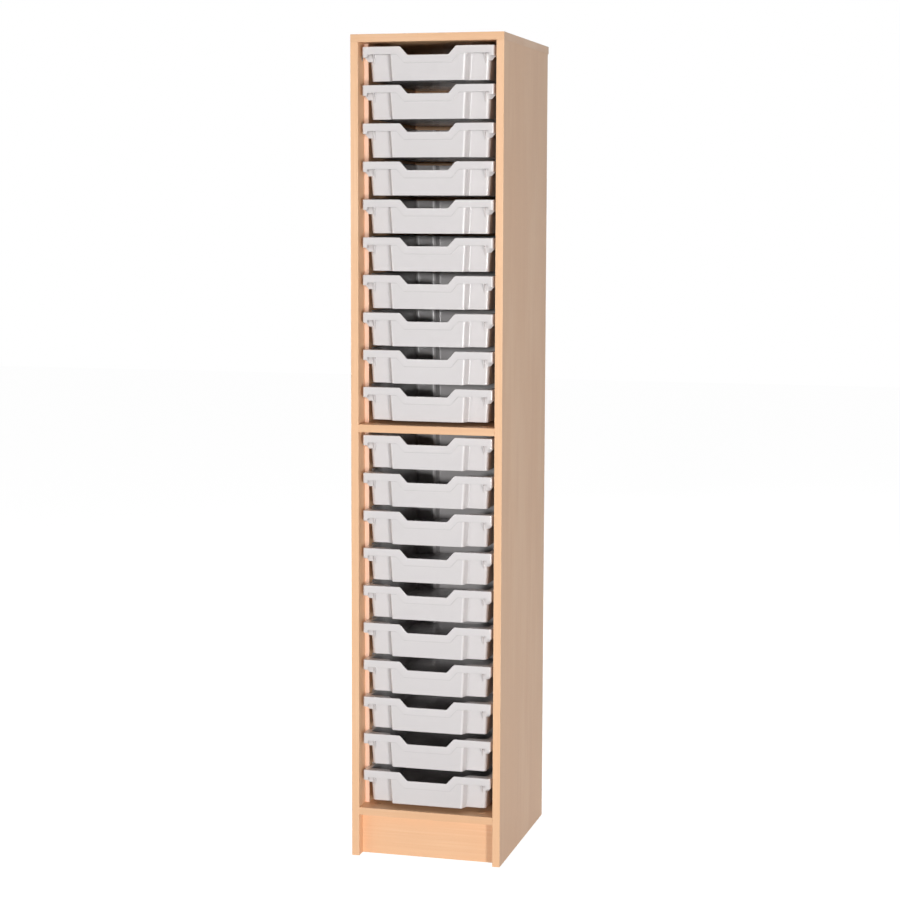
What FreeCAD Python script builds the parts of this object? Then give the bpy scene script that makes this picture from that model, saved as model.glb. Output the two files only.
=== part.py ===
import FreeCAD, Part
import math
import os

V = FreeCAD.Vector

# Tall school storage unit: a beech-faced board carcass with two bays of shallow trays.
# Millimetres. +Z up, the front faces -Y, X = 0 is the middle of the width, Y = 0 is half way
# through the overall depth, and Z = 0 is the floor.

# ---------------------------------------------------------------- driving dimensions
# Tray, over its front lugs, from rim front to rim back, and over its height.
TRAY_W = 312.0
TRAY_D = 427.0
TRAY_H = 77.5
TRAYS_PER_BAY = 10

# Tray moulding.
WALL = 2.0                 # side and end walls
FLOOR = 2.5                # tray floor
RIM = 3.0                  # flat rim round the top
BODY_W_TOP = 290.0         # body under the rim
BODY_W_FOOT = 279.0        # body at the floor
CORNER_IN = 7.0            # upright corners of the body, on the inside
STEP_IN = 1.0              # upright edges of the steps in each end, on the inside
FOOT_LESS = 1.5            # foot's round, less than the steps' outer round
CENTRE_W_TOP = 180.0       # panel that stands forward in the middle of each end
CENTRE_W_FOOT = 170.0
CENTRE_SETBACK_TOP = 1.0   # panel behind the rim's front edge
CENTRE_SETBACK_FOOT = 4.0
STEP_DEPTH = 18.5          # side sections behind the centre panel
STEP_SLANT = 7.0           # how far each step leans outwards
BAND_H = 17.5              # front band under the rim
BAND_T = 2.5
GRIP_W_TOP = 132.0         # finger dip in the front
GRIP_W_FOOT = 97.0
GRIP_DEPTH = 19.5
LUG_LENGTH = 39.5          # the wide front stretch of the rim
LUG_STEP = 5.0             # how far a lug stands out past the side rim
LUG_SKIRT_H = 24.0         # outer edge of a lug, below the rim's top
LUG_SKIRT_W = 8.0          # that deep stretch, seen from the front
RIM_CORNER = 5.0
SIDE_LIP_H = 9.0           # turned-down edge that slides in the runner
WEB_KNEE_OUT = 5.0         # shoulder web past the side of the body, at its bend
WEB_KNEE_DROP = 29.0       # the bend below the rim's top
WEB_TOE_OUT = 1.5          # shoulder web past the side of the body, at its foot
WEB_DROP = 33.5            # its foot below the rim's top
RIB_FROM_SIDE = 13.0       # stiffening rib, in from the side of the body
RIB_DROP = 40.0

# Gaps between the trays, and from the trays to the shelves, bay by bay.
UPPER_GAP = 9.1
LOWER_GAP = 11.4
UPPER_HEADROOM = 10.0
UPPER_FOOTROOM = 9.5
LOWER_HEADROOM = 7.5
LOWER_FOOTROOM = 11.5
TRAY_SETBACK = 10.0        # tray front behind the carcass front
TRAY_REAR_ROOM = 7.0       # tray back to back panel

# Boards.
BOARD = 18.0
BACK = 8.0
REBATE = 9.0               # how far the back panel lies into each side
TOP_OVERHANG = 10.0        # top panel past the back of the sides
PLINTH_H = 100.0
PLINTH_SETBACK = 30.0
EDGING = 2.0               # lipping on the carcass boards
LINER = 10.0               # runner board on the inside of each side
LINER_EDGING = 0.8

# Runners.
RUNNER_WEB = 1.4           # wall of the channel against the runner board
RUNNER_LEDGE = 2.0
RUNNER_HOOD = 1.5
RUNNER_REACH = 6.0         # channel width, away from the board
RUNNER_FRONT_GAP = 25.0    # runner behind the front of its board
RUNNER_REAR_GAP = 5.0
PEG_R = 2.5
PEG_LENGTH = 7.0
PEGS_PER_RUNNER = 3
PEG_INSET = 30.0           # first and last peg from the runner's ends

# Running clearances.
SIDE_PLAY = 0.6            # tray rim to runner wall
SLIDE_PLAY = 0.3           # tray lip over the runner's ledge
HOOD_PLAY = 0.7            # tray rim under the runner's hood
STOP_PLAY = 0.5            # lug to the front of the runner board
HOLE_PLAY = 0.1            # radial room round pegs, dowels, bolts and cams

# Knock-down joints.
FIRST_JOINT = 37.0         # first joint line behind the carcass front
DOWEL_PITCH = 32.0         # dowel beyond each cam
CAM_R = 7.5
CAM_H = 12.5
CAM_POCKET = 13.5
CAM_REACH = 34.0           # cam centre from the end of its board
CAM_DRIVE_W = 2.0          # cross slot for the driver
CAM_DRIVE_L = 9.0
CAM_DRIVE_DEPTH = 3.0
CAP_R = 9.0
CAP_T = 1.0
BOLT_R = 3.0
BOLT_THREAD_R = 2.5
BOLT_THREAD_L = 10.0
DOWEL_R = 4.0
DOWEL_L = 30.0
DOWEL_IN_SIDE = 10.0       # part of a dowel that sits in the thin direction of a board

# Screws.
SCREW_HEAD_R = 3.6
SCREW_HEAD_H = 2.6
SCREW_R = 1.7
SCREW_POINT = 5.0          # tapered end
SCREW_TIP_R = 0.4
BACK_SCREW_L = 24.0
LINER_SCREW_L = 22.0
BLOCK_SCREW_L = 14.0
BACK_SCREW_ROWS = 7
LINER_SCREW_ROWS = 3
LINER_SCREW_INSET = 45.0

# Corner blocks behind the plinth.
BLOCK_W = 30.0
BLOCK_LEG = 22.0
BLOCK_T = 5.0
BLOCK_FROM_SIDE = 60.0

# ---------------------------------------------------------------- sizes that follow
BODY_CORNER = CORNER_IN + WALL
STEP_ROUND = STEP_IN + WALL
FOOT_ROUND = STEP_ROUND - FOOT_LESS
RIM_W = TRAY_W - 2 * LUG_STEP
LINER_FACE = RIM_W / 2 + SIDE_PLAY + RUNNER_WEB
INNER = LINER_FACE + LINER
OUTER = INNER + BOARD
SIDE_D = TRAY_SETBACK + TRAY_D + TRAY_REAR_ROOM + BACK
DEPTH = SIDE_D + TOP_OVERHANG
FRONT = -DEPTH / 2
SIDE_REAR = FRONT + SIDE_D
BACK_FACE = SIDE_REAR - BACK
TOP_REAR = FRONT + DEPTH

UPPER_PITCH = TRAY_H + UPPER_GAP
LOWER_PITCH = TRAY_H + LOWER_GAP
STACK = TRAYS_PER_BAY - 1
LOWER_BAY = LOWER_FOOTROOM + STACK * LOWER_PITCH + TRAY_H + LOWER_HEADROOM
UPPER_BAY = UPPER_FOOTROOM + STACK * UPPER_PITCH + TRAY_H + UPPER_HEADROOM
BASE_TOP = PLINTH_H + BOARD
MID_UNDER = BASE_TOP + LOWER_BAY
MID_TOP = MID_UNDER + BOARD
TOP_UNDER = MID_TOP + UPPER_BAY
HEIGHT = TOP_UNDER + BOARD

TRAY_FRONT = FRONT + TRAY_SETBACK
LINER_FRONT = TRAY_FRONT + LUG_LENGTH + STOP_PLAY
RUNNER_FRONT = LINER_FRONT + RUNNER_FRONT_GAP
RUNNER_REAR = BACK_FACE - RUNNER_REAR_GAP
LEDGE_TOP = TRAY_H - SIDE_LIP_H - SLIDE_PLAY
HOOD_UNDER = TRAY_H + HOOD_PLAY
PEG_Z = (LEDGE_TOP + HOOD_UNDER) / 2

LOWER_TRAYS = [BASE_TOP + LOWER_FOOTROOM + i * LOWER_PITCH for i in range(TRAYS_PER_BAY)]
UPPER_TRAYS = [MID_TOP + UPPER_FOOTROOM + i * UPPER_PITCH for i in range(TRAYS_PER_BAY)]

FRONT_JOINT = FRONT + FIRST_JOINT
REAR_JOINT = BACK_FACE - FIRST_JOINT
CAM_LINES = [FRONT_JOINT, REAR_JOINT]
DOWEL_LINES = [FRONT_JOINT + DOWEL_PITCH, REAR_JOINT - DOWEL_PITCH]
SIDE_MIDDLE = INNER + BOARD / 2
PLINTH_FRONT = FRONT + PLINTH_SETBACK
PLINTH_DOWELS = [PLINTH_H / 3, PLINTH_H * 2 / 3]


# ---------------------------------------------------------------- helpers
def box(x0, x1, y0, y1, z0, z1):
    """A box between two corners, given in any order along X."""
    return Part.makeBox(abs(x1 - x0), y1 - y0, z1 - z0, V(min(x0, x1), y0, z0))


def rod(radius, length, start, direction):
    return Part.makeCylinder(radius, length, start, direction)


def fused(shapes):
    """One shape from several that touch or overlap."""
    shapes = list(shapes)
    if len(shapes) == 1:
        return shapes[0]
    return shapes[0].multiFuse(shapes[1:]).removeSplitter()


def cut_all(shape, tools):
    """The shape with every tool cut away, one tool after another."""
    tools = list(tools)
    return shape.cut(Part.makeCompound(tools)) if tools else shape


def screw(start, direction, length, grow=0.0):
    """Countersunk screw with its head at the start point, or its hole when it is grown."""
    head = Part.makeCone(SCREW_HEAD_R + grow, SCREW_R + grow, SCREW_HEAD_H, start, direction)
    shank_from = start + direction * SCREW_HEAD_H
    shank = rod(SCREW_R + grow, length - SCREW_HEAD_H - SCREW_POINT, shank_from, direction)
    point_from = start + direction * (length - SCREW_POINT)
    point = Part.makeCone(SCREW_R + grow, SCREW_TIP_R + grow, SCREW_POINT, point_from, direction)
    return fused([head, shank, point])


def inset(points, distance):
    """The outline moved inwards by a distance. The points run anticlockwise."""
    moved = []
    count = len(points)
    for i in range(count):
        before, here, after = points[i - 1], points[i], points[(i + 1) % count]
        d1 = (here[0] - before[0], here[1] - before[1])
        d2 = (after[0] - here[0], after[1] - here[1])
        l1, l2 = math.hypot(*d1), math.hypot(*d2)
        n1 = (-d1[1] / l1, d1[0] / l1)
        n2 = (-d2[1] / l2, d2[0] / l2)
        share = distance / (1 + n1[0] * n2[0] + n1[1] * n2[1])
        moved.append((here[0] + share * (n1[0] + n2[0]), here[1] + share * (n1[1] + n2[1])))
    return moved


def prism(points, z0, z1):
    wire = Part.makePolygon([V(x, y, z0) for x, y in points + points[:1]])
    return Part.Face(wire).extrude(V(0, 0, z1 - z0))


def rounded_wire(points, radii, z):
    """A closed outline at one height, with one radius for each of its corners."""
    starts, ends, arcs = [], [], []
    count = len(points)
    for i in range(count):
        here = V(*points[i], z)
        back = (V(*points[i - 1], z) - here).normalize()
        ahead = (V(*points[(i + 1) % count], z) - here).normalize()
        half = back.getAngle(ahead) / 2
        run = radii[i] / math.tan(half)
        middle = here + (back + ahead).normalize() * (radii[i] / math.sin(half) - radii[i])
        starts.append(here + back * run)
        ends.append(here + ahead * run)
        arcs.append(Part.Arc(starts[i], middle, ends[i]).toShape())
    sides = [Part.makeLine(ends[i - 1], starts[i]) for i in range(count)]
    return Part.Wire([edge for pair in zip(sides, arcs) for edge in pair])


def foot_edges(shape, level):
    return [e for e in shape.Edges if max(v.Z for v in e.Vertexes) < level + 0.01]


def end_corners(shape, half_w, front, back):
    """The upright edges of a plate where its sides meet its front and its back."""
    found = []
    for edge in shape.Edges:
        a, b = edge.Vertexes[0].Point, edge.Vertexes[-1].Point
        upright = abs(a.x - b.x) < 0.01 and abs(a.z - b.z) > 1
        at_end = a.y < front + 0.01 or a.y > back - 0.01
        if upright and at_end and abs(a.x) > half_w - 0.01:
            found.append(edge)
    return found


# ---------------------------------------------------------------- tray
def tray_plan(half_body, half_centre, centre_front):
    """Plan of the tray's body: each end has a centre panel that stands out past a slanted step."""
    side_front = centre_front + STEP_DEPTH
    front = [
        (-half_body, side_front),
        (-half_centre - STEP_SLANT, side_front),
        (-half_centre, centre_front),
        (half_centre, centre_front),
        (half_centre + STEP_SLANT, side_front),
        (half_body, side_front),
    ]
    back = [(-x, TRAY_D - y) for x, y in front]
    return front + back


def tray_radii(inwards):
    """Corner radii of the body's plan, or of the plan moved inwards by the wall."""
    corner, outer, inner = BODY_CORNER - inwards, STEP_ROUND - inwards, STEP_ROUND + inwards
    end = [corner, inner, outer, outer, inner, corner]
    return end + end


def tray_opening():
    """The inside of the body's wall at the rim."""
    head = tray_plan(BODY_W_TOP / 2, CENTRE_W_TOP / 2, CENTRE_SETBACK_TOP)
    return inset(head, WALL)


def tray_body():
    """The drafted tub with its walls and floor, open at the top."""
    foot = tray_plan(BODY_W_FOOT / 2, CENTRE_W_FOOT / 2, CENTRE_SETBACK_FOOT)
    head = tray_plan(BODY_W_TOP / 2, CENTRE_W_TOP / 2, CENTRE_SETBACK_TOP)
    outside, inside = tray_radii(0), tray_radii(WALL)
    ends = [rounded_wire(foot, outside, 0), rounded_wire(head, outside, TRAY_H)]
    tub = Part.makeLoft(ends, True, True)
    tub = tub.makeFillet(FOOT_ROUND, foot_edges(tub, 0))
    ends = [rounded_wire(inset(foot, WALL), inside, FLOOR), rounded_wire(tray_opening(), inside, TRAY_H)]
    return tub.cut(Part.makeLoft(ends, True, True))


def rim_outline():
    """Plan of the rim: wide lugs at the front, then a narrower rim along the runners."""
    lug, side = TRAY_W / 2, RIM_W / 2
    right = [(lug, 0), (lug, LUG_LENGTH), (side, LUG_LENGTH), (side, TRAY_D)]
    return right + [(-x, y) for x, y in reversed(right)]


def tray_rim():
    """Flat rim with its lip turned down all round, deeper along the front and the lugs."""
    outline = rim_outline()
    block = prism(outline, TRAY_H - LUG_SKIRT_H, TRAY_H)
    block = block.makeFillet(RIM_CORNER, end_corners(block, RIM_W / 2, 0, TRAY_D))
    hollow = prism(inset(outline, BAND_T), TRAY_H - LUG_SKIRT_H, TRAY_H - RIM)
    corners = end_corners(hollow, RIM_W / 2 - BAND_T, BAND_T, TRAY_D - BAND_T)
    hollow = hollow.makeFillet(RIM_CORNER - BAND_T, corners)
    rim = block.cut(hollow)
    # Past the lugs and behind the front the lip is only as deep as the runner takes.
    behind = box(-TRAY_W, TRAY_W, LUG_LENGTH, TRAY_D + 1, 0, TRAY_H - SIDE_LIP_H)
    rim = rim.cut(behind)
    deep = TRAY_W / 2 - LUG_SKIRT_W
    middle = box(-deep, deep, -1, LUG_LENGTH, 0, TRAY_H - BAND_H)
    opening = Part.Face(rounded_wire(tray_opening(), tray_radii(WALL), 0))
    return rim.cut(middle).cut(opening.extrude(V(0, 0, TRAY_H + 1)))


def grip_profile(grow, lift):
    """The finger dip's outline in X and Z, or the band's lower edge when it is grown."""
    lean = math.atan2(GRIP_DEPTH, (GRIP_W_TOP - GRIP_W_FOOT) / 2)
    shift = grow * math.tan(lean / 2)
    top, foot = GRIP_W_TOP / 2 + shift, GRIP_W_FOOT / 2 + shift
    low = TRAY_H - GRIP_DEPTH - grow
    high = TRAY_H - grow
    rise = lift * (top - foot) / GRIP_DEPTH
    return [(-top - rise, high + lift), (-foot, low), (foot, low), (top + rise, high + lift)]


def upright_prism(profile, y0, y1):
    wire = Part.makePolygon([V(x, y0, z) for x, z in profile + profile[:1]])
    return Part.Face(wire).extrude(V(0, y1 - y0, 0))


def tray_band():
    """Front band that keeps its height round the finger dip."""
    return upright_prism(grip_profile(BAND_H, 1.0), 0, BAND_T)


def tray_webs():
    """Shoulder webs beside the body, a stop wall behind each lug and the stiffening ribs."""
    pieces = []
    side_front = CENTRE_SETBACK_TOP + STEP_DEPTH
    under = TRAY_H - RIM
    half = BODY_W_TOP / 2
    lug = TRAY_W / 2
    rib_x = half - RIB_FROM_SIDE
    inner, outer = half - BODY_CORNER, lug - BAND_T / 2
    shoulder = [(inner, under), (outer, under), (outer, TRAY_H - LUG_SKIRT_H),
                (half + WEB_KNEE_OUT, TRAY_H - WEB_KNEE_DROP), (half + WEB_TOE_OUT, TRAY_H - WEB_DROP),
                (inner, TRAY_H - WEB_DROP)]
    for side in (-1, 1):
        outline = [(side * x, z) for x, z in shoulder]
        pieces.append(upright_prism(outline, side_front, side_front + WALL))
        pieces.append(box(side * (half - WALL / 2), side * lug, LUG_LENGTH - WALL, LUG_LENGTH,
                          TRAY_H - BAND_H, under))
        root = side_front + WALL / 2
        rib = [(BAND_T / 2, under), (root, under), (root, TRAY_H - RIB_DROP)]
        wire = Part.makePolygon([V(side * rib_x, y, z) for y, z in rib + rib[:1]])
        pieces.append(Part.Face(wire).extrude(V(-side * WALL, 0, 0)))
    return pieces


def tray():
    """One shallow tray, moulded in one piece, with its foot at Z = 0 and its front at Y = 0."""
    dip = upright_prism(grip_profile(0.0, 1.0), -1, CENTRE_SETBACK_TOP + STEP_DEPTH)
    return fused([tray_body(), tray_rim(), tray_band()] + tray_webs()).cut(dip)


# ---------------------------------------------------------------- runners
def runner(side, tray_foot):
    """Channel that holds one edge of one tray, with pegs into the runner board."""
    face, tip = side * LINER_FACE, side * (LINER_FACE - RUNNER_REACH)
    floor_z, roof_z = tray_foot + LEDGE_TOP, tray_foot + HOOD_UNDER
    wall = box(face, face - side * RUNNER_WEB, RUNNER_FRONT, RUNNER_REAR,
               floor_z - RUNNER_LEDGE, roof_z + RUNNER_HOOD)
    ledge = box(face, tip, RUNNER_FRONT, RUNNER_REAR, floor_z - RUNNER_LEDGE, floor_z)
    hood = box(face, tip, RUNNER_FRONT, RUNNER_REAR, roof_z, roof_z + RUNNER_HOOD)
    pegs = [rod(PEG_R, PEG_LENGTH + RUNNER_WEB / 2, V(face - side * RUNNER_WEB / 2, y, tray_foot + PEG_Z),
                V(side, 0, 0)) for y in peg_lines()]
    return fused([wall, ledge, hood] + pegs)


def peg_lines():
    span = RUNNER_REAR - RUNNER_FRONT - 2 * PEG_INSET
    return [RUNNER_FRONT + PEG_INSET + i * span / (PEGS_PER_RUNNER - 1) for i in range(PEGS_PER_RUNNER)]


def peg_holes(side, tray_feet):
    """Blind holes in a runner board for the pegs of its runners."""
    radius, length = PEG_R + HOLE_PLAY, PEG_LENGTH + HOLE_PLAY
    return [rod(radius, length, V(side * LINER_FACE, y, foot + PEG_Z), V(side, 0, 0))
            for foot in tray_feet for y in peg_lines()]


# ---------------------------------------------------------------- joints and fasteners
def shelf_cam(side, y, top):
    """Cam disc sunk into a shelf's top face, with a bore for its bolt and a cross slot."""
    x = side * (INNER - CAM_REACH)
    disc = rod(CAM_R, CAM_H, V(x, y, top - CAM_POCKET), V(0, 0, 1))
    bore = rod(BOLT_R + HOLE_PLAY, 2 * CAM_R, V(x, y, top - BOARD / 2), V(side, 0, 0))
    roof = top - CAM_POCKET + CAM_H
    slots = [box(x - CAM_DRIVE_L / 2, x + CAM_DRIVE_L / 2, y - CAM_DRIVE_W / 2, y + CAM_DRIVE_W / 2,
                 roof - CAM_DRIVE_DEPTH, roof + 1),
             box(x - CAM_DRIVE_W / 2, x + CAM_DRIVE_W / 2, y - CAM_DRIVE_L / 2, y + CAM_DRIVE_L / 2,
                 roof - CAM_DRIVE_DEPTH, roof + 1)]
    return cut_all(disc, [bore] + slots)


def shelf_cam_pocket(side, y, top):
    x = side * (INNER - CAM_REACH)
    pocket = rod(CAM_R + HOLE_PLAY, CAM_POCKET, V(x, y, top - CAM_POCKET), V(0, 0, 1))
    bore = rod(BOLT_R + HOLE_PLAY, CAM_REACH, V(x, y, top - BOARD / 2), V(side, 0, 0))
    return [pocket, bore]


def shelf_bolt(side, y, top):
    """Bolt from the side board into the cam: a thread in the side, then a plain stem."""
    stem_from = V(side * (INNER - CAM_REACH), y, top - BOARD / 2)
    stem = rod(BOLT_R, CAM_REACH, stem_from, V(side, 0, 0))
    thread = rod(BOLT_THREAD_R, BOLT_THREAD_L, V(side * INNER, y, top - BOARD / 2), V(side, 0, 0))
    return fused([stem, thread])


def side_bolt_hole(side, y, top):
    return rod(BOLT_THREAD_R + HOLE_PLAY, BOLT_THREAD_L + HOLE_PLAY, V(side * INNER, y, top - BOARD / 2),
               V(side, 0, 0))


def cam_cap(side, y, top):
    """Cover cap that sits over a cam: a flat head and a short spigot in the pocket."""
    x = side * (INNER - CAM_REACH)
    spigot = rod(CAM_R - HOLE_PLAY, CAM_POCKET - CAM_H, V(x, y, top - CAM_POCKET + CAM_H), V(0, 0, 1))
    head = rod(CAP_R, CAP_T, V(x, y, top), V(0, 0, 1))
    return fused([spigot, head])


def level_dowel(side, y, z, grow=0.0):
    """Dowel that lies along X between a side and a board's end."""
    start = side * (INNER + DOWEL_IN_SIDE + grow)
    return rod(DOWEL_R + grow, DOWEL_L + 2 * grow, V(start, y, z), V(-side, 0, 0))


def upright_dowel(side, y, grow=0.0):
    """Dowel that stands between a side's top end and the top panel."""
    start = V(side * SIDE_MIDDLE, y, TOP_UNDER + DOWEL_IN_SIDE + grow)
    return rod(DOWEL_R + grow, DOWEL_L + 2 * grow, start, V(0, 0, -1))


def top_cam(side, y):
    """Cam disc sunk into a side's inner face, below the top panel."""
    z = TOP_UNDER - CAM_REACH
    start = V(side * (INNER + CAM_POCKET), y, z)
    disc = rod(CAM_R, CAM_H, start, V(-side, 0, 0))
    bore = rod(BOLT_R + HOLE_PLAY, 2 * CAM_R, V(side * SIDE_MIDDLE, y, z), V(0, 0, 1))
    face = side * (INNER + CAM_POCKET - CAM_H)
    deep = face + side * CAM_DRIVE_DEPTH
    slots = [box(face - side, deep, y - CAM_DRIVE_L / 2, y + CAM_DRIVE_L / 2, z - CAM_DRIVE_W / 2,
                 z + CAM_DRIVE_W / 2),
             box(face - side, deep, y - CAM_DRIVE_W / 2, y + CAM_DRIVE_W / 2, z - CAM_DRIVE_L / 2,
                 z + CAM_DRIVE_L / 2)]
    return cut_all(disc, [bore] + slots)


def top_cam_pocket(side, y):
    z = TOP_UNDER - CAM_REACH
    pocket = rod(CAM_R + HOLE_PLAY, CAM_POCKET, V(side * (INNER + CAM_POCKET), y, z), V(-side, 0, 0))
    bore = rod(BOLT_R + HOLE_PLAY, CAM_REACH, V(side * SIDE_MIDDLE, y, z), V(0, 0, 1))
    return [pocket, bore]


def top_bolt(side, y):
    stem = rod(BOLT_R, CAM_REACH, V(side * SIDE_MIDDLE, y, TOP_UNDER - CAM_REACH), V(0, 0, 1))
    thread = rod(BOLT_THREAD_R, BOLT_THREAD_L, V(side * SIDE_MIDDLE, y, TOP_UNDER), V(0, 0, 1))
    return fused([stem, thread])


def top_bolt_hole(side, y):
    return rod(BOLT_THREAD_R + HOLE_PLAY, BOLT_THREAD_L + HOLE_PLAY, V(side * SIDE_MIDDLE, y, TOP_UNDER),
               V(0, 0, 1))


SHELF_TOPS = [BASE_TOP, MID_TOP]
SIDES = (-1, 1)


def shelf_dowel_spots(top):
    return [(side, y, top - BOARD / 2) for side in SIDES for y in DOWEL_LINES]


def plinth_dowel_spots():
    return [(side, PLINTH_FRONT + BOARD / 2, z) for side in SIDES for z in PLINTH_DOWELS]


def back_screw_spots():
    """Screws up both edges of the back panel, and a pair into the edge of each shelf."""
    edge = INNER + REBATE / 2
    first, last = BOARD, TOP_UNDER - BOARD
    step = (last - first) / (BACK_SCREW_ROWS - 1)
    spots = [(side * edge, first + i * step) for side in SIDES for i in range(BACK_SCREW_ROWS)]
    spots += [(side * INNER / 2, top - BOARD / 2) for side in SIDES for top in SHELF_TOPS]
    return spots


def back_screw(x, z, grow=0.0):
    return screw(V(x, SIDE_REAR, z), V(0, -1, 0), BACK_SCREW_L, grow)


def liner_screw_spots(tray_feet):
    """Screws through a runner board, half way between two runners."""
    lines = [LINER_FRONT + LINER_SCREW_INSET, BACK_FACE - LINER_SCREW_INSET]
    gaps = len(tray_feet) - 1
    rows = [round(i * (gaps - 1) / (LINER_SCREW_ROWS - 1)) for i in range(LINER_SCREW_ROWS)]
    rise = PEG_Z + (tray_feet[1] - tray_feet[0]) / 2
    return [(y, tray_feet[row] + rise) for row in rows for y in lines]


def liner_screw(side, y, z, grow=0.0):
    return screw(V(side * LINER_FACE, y, z), V(side, 0, 0), LINER_SCREW_L, grow)


def block_lines():
    return [side * (INNER - BLOCK_FROM_SIDE) for side in SIDES]


def block_screw_ends():
    """Start and direction of each screw in the corner blocks: one up, one forward."""
    back = PLINTH_FRONT + BOARD
    ends = []
    for x in block_lines():
        ends.append((V(x, back + BLOCK_LEG / 2 + BLOCK_T / 2, PLINTH_H - BLOCK_T), V(0, 0, 1)))
        ends.append((V(x, back + BLOCK_T, PLINTH_H - BLOCK_LEG / 2 - BLOCK_T / 2), V(0, -1, 0)))
    return ends


def block_screws(grow=0.0):
    return [screw(start, way, BLOCK_SCREW_L, grow) for start, way in block_screw_ends()]


# ---------------------------------------------------------------- boards
def side_panel(side):
    """Side board that runs from the floor to the top panel, rebated for the back."""
    panel = box(side * INNER, side * OUTER, FRONT + EDGING, SIDE_REAR, 0, TOP_UNDER)
    tools = [box(side * (INNER - 1), side * (INNER + REBATE), BACK_FACE, SIDE_REAR + 1, -1, TOP_UNDER + 1)]
    for top in SHELF_TOPS:
        tools += [side_bolt_hole(side, y, top) for y in CAM_LINES]
        tools += [level_dowel(s, y, z, HOLE_PLAY) for s, y, z in shelf_dowel_spots(top) if s == side]
    tools += [level_dowel(s, y, z, HOLE_PLAY) for s, y, z in plinth_dowel_spots() if s == side]
    for y in CAM_LINES:
        tools += top_cam_pocket(side, y)
    tools += [upright_dowel(side, y, HOLE_PLAY) for y in DOWEL_LINES]
    tools += [back_screw(x, z, HOLE_PLAY) for x, z in back_screw_spots() if x * side > INNER]
    for feet in (LOWER_TRAYS, UPPER_TRAYS):
        tools += [liner_screw(side, y, z, HOLE_PLAY) for y, z in liner_screw_spots(feet)]
    return cut_all(panel, tools)


def side_edging(side):
    return box(side * INNER, side * OUTER, FRONT, FRONT + EDGING, 0, TOP_UNDER)


def top_panel():
    """Top board that lies over both sides, inside its lipping."""
    panel = box(-OUTER + EDGING, OUTER - EDGING, FRONT + EDGING, TOP_REAR - EDGING, TOP_UNDER, HEIGHT)
    tools = [top_bolt_hole(side, y) for side in SIDES for y in CAM_LINES]
    tools += [upright_dowel(side, y, HOLE_PLAY) for side in SIDES for y in DOWEL_LINES]
    return cut_all(panel, tools)


def top_edging():
    """Four strips round the top panel."""
    strips = [box(-OUTER, OUTER, FRONT, FRONT + EDGING, TOP_UNDER, HEIGHT),
              box(-OUTER, OUTER, TOP_REAR - EDGING, TOP_REAR, TOP_UNDER, HEIGHT)]
    strips += [box(side * (OUTER - EDGING), side * OUTER, FRONT + EDGING, TOP_REAR - EDGING,
                   TOP_UNDER, HEIGHT)
               for side in SIDES]
    return Part.makeCompound(strips)


def shelf(top):
    """Fixed board between the sides, with cam pockets in its top face."""
    panel = box(-INNER, INNER, FRONT + EDGING, BACK_FACE, top - BOARD, top)
    tools = [level_dowel(side, y, z, HOLE_PLAY) for side, y, z in shelf_dowel_spots(top)]
    for side in SIDES:
        for y in CAM_LINES:
            tools += shelf_cam_pocket(side, y, top)
    tools += [back_screw(x, z, HOLE_PLAY) for x, z in back_screw_spots() if abs(z - top + BOARD / 2) < 0.01]
    return cut_all(panel, tools)


def base_shelf():
    return cut_all(shelf(BASE_TOP), block_screws(HOLE_PLAY))


def shelf_edging(top):
    return box(-INNER, INNER, FRONT, FRONT + EDGING, top - BOARD, top)


def plinth():
    """Kick board under the base shelf, set back from the front."""
    panel = box(-INNER, INNER, PLINTH_FRONT, PLINTH_FRONT + BOARD, 0, PLINTH_H)
    tools = [level_dowel(side, y, z, HOLE_PLAY) for side, y, z in plinth_dowel_spots()]
    return cut_all(panel, tools + block_screws(HOLE_PLAY))


def back_panel():
    """Thin board let into the sides' rebates, from the floor to the top panel."""
    half = INNER + REBATE
    panel = box(-half, half, BACK_FACE, SIDE_REAR, 0, TOP_UNDER)
    return cut_all(panel, [back_screw(x, z, HOLE_PLAY) for x, z in back_screw_spots()])


def runner_board(side, foot, head, tray_feet):
    """Board on the inside of a side panel that carries the runners of one bay."""
    panel = box(side * LINER_FACE, side * INNER, LINER_FRONT + LINER_EDGING, BACK_FACE, foot, head)
    tools = peg_holes(side, tray_feet)
    tools += [liner_screw(side, y, z, HOLE_PLAY) for y, z in liner_screw_spots(tray_feet)]
    return cut_all(panel, tools)


BAYS = {"lower": (BASE_TOP, MID_UNDER, LOWER_TRAYS), "upper": (MID_TOP, TOP_UNDER, UPPER_TRAYS)}
SIDE_NAMES = {"left": -1, "right": 1}


def runner_board_edgings():
    strips = [box(side * LINER_FACE, side * INNER, LINER_FRONT, LINER_FRONT + LINER_EDGING, foot, head)
              for foot, head, _ in BAYS.values() for side in SIDES]
    return Part.makeCompound(strips)


def corner_blocks():
    """L-shaped blocks that tie the plinth to the base shelf."""
    blocks = []
    back = PLINTH_FRONT + BOARD
    for x in block_lines():
        leg = box(x - BLOCK_W / 2, x + BLOCK_W / 2, back, back + BLOCK_T, PLINTH_H - BLOCK_LEG, PLINTH_H)
        arm = box(x - BLOCK_W / 2, x + BLOCK_W / 2, back, back + BLOCK_LEG, PLINTH_H - BLOCK_T, PLINTH_H)
        blocks.append(cut_all(fused([leg, arm]), block_screws(HOLE_PLAY)))
    return Part.makeCompound(blocks)


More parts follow.
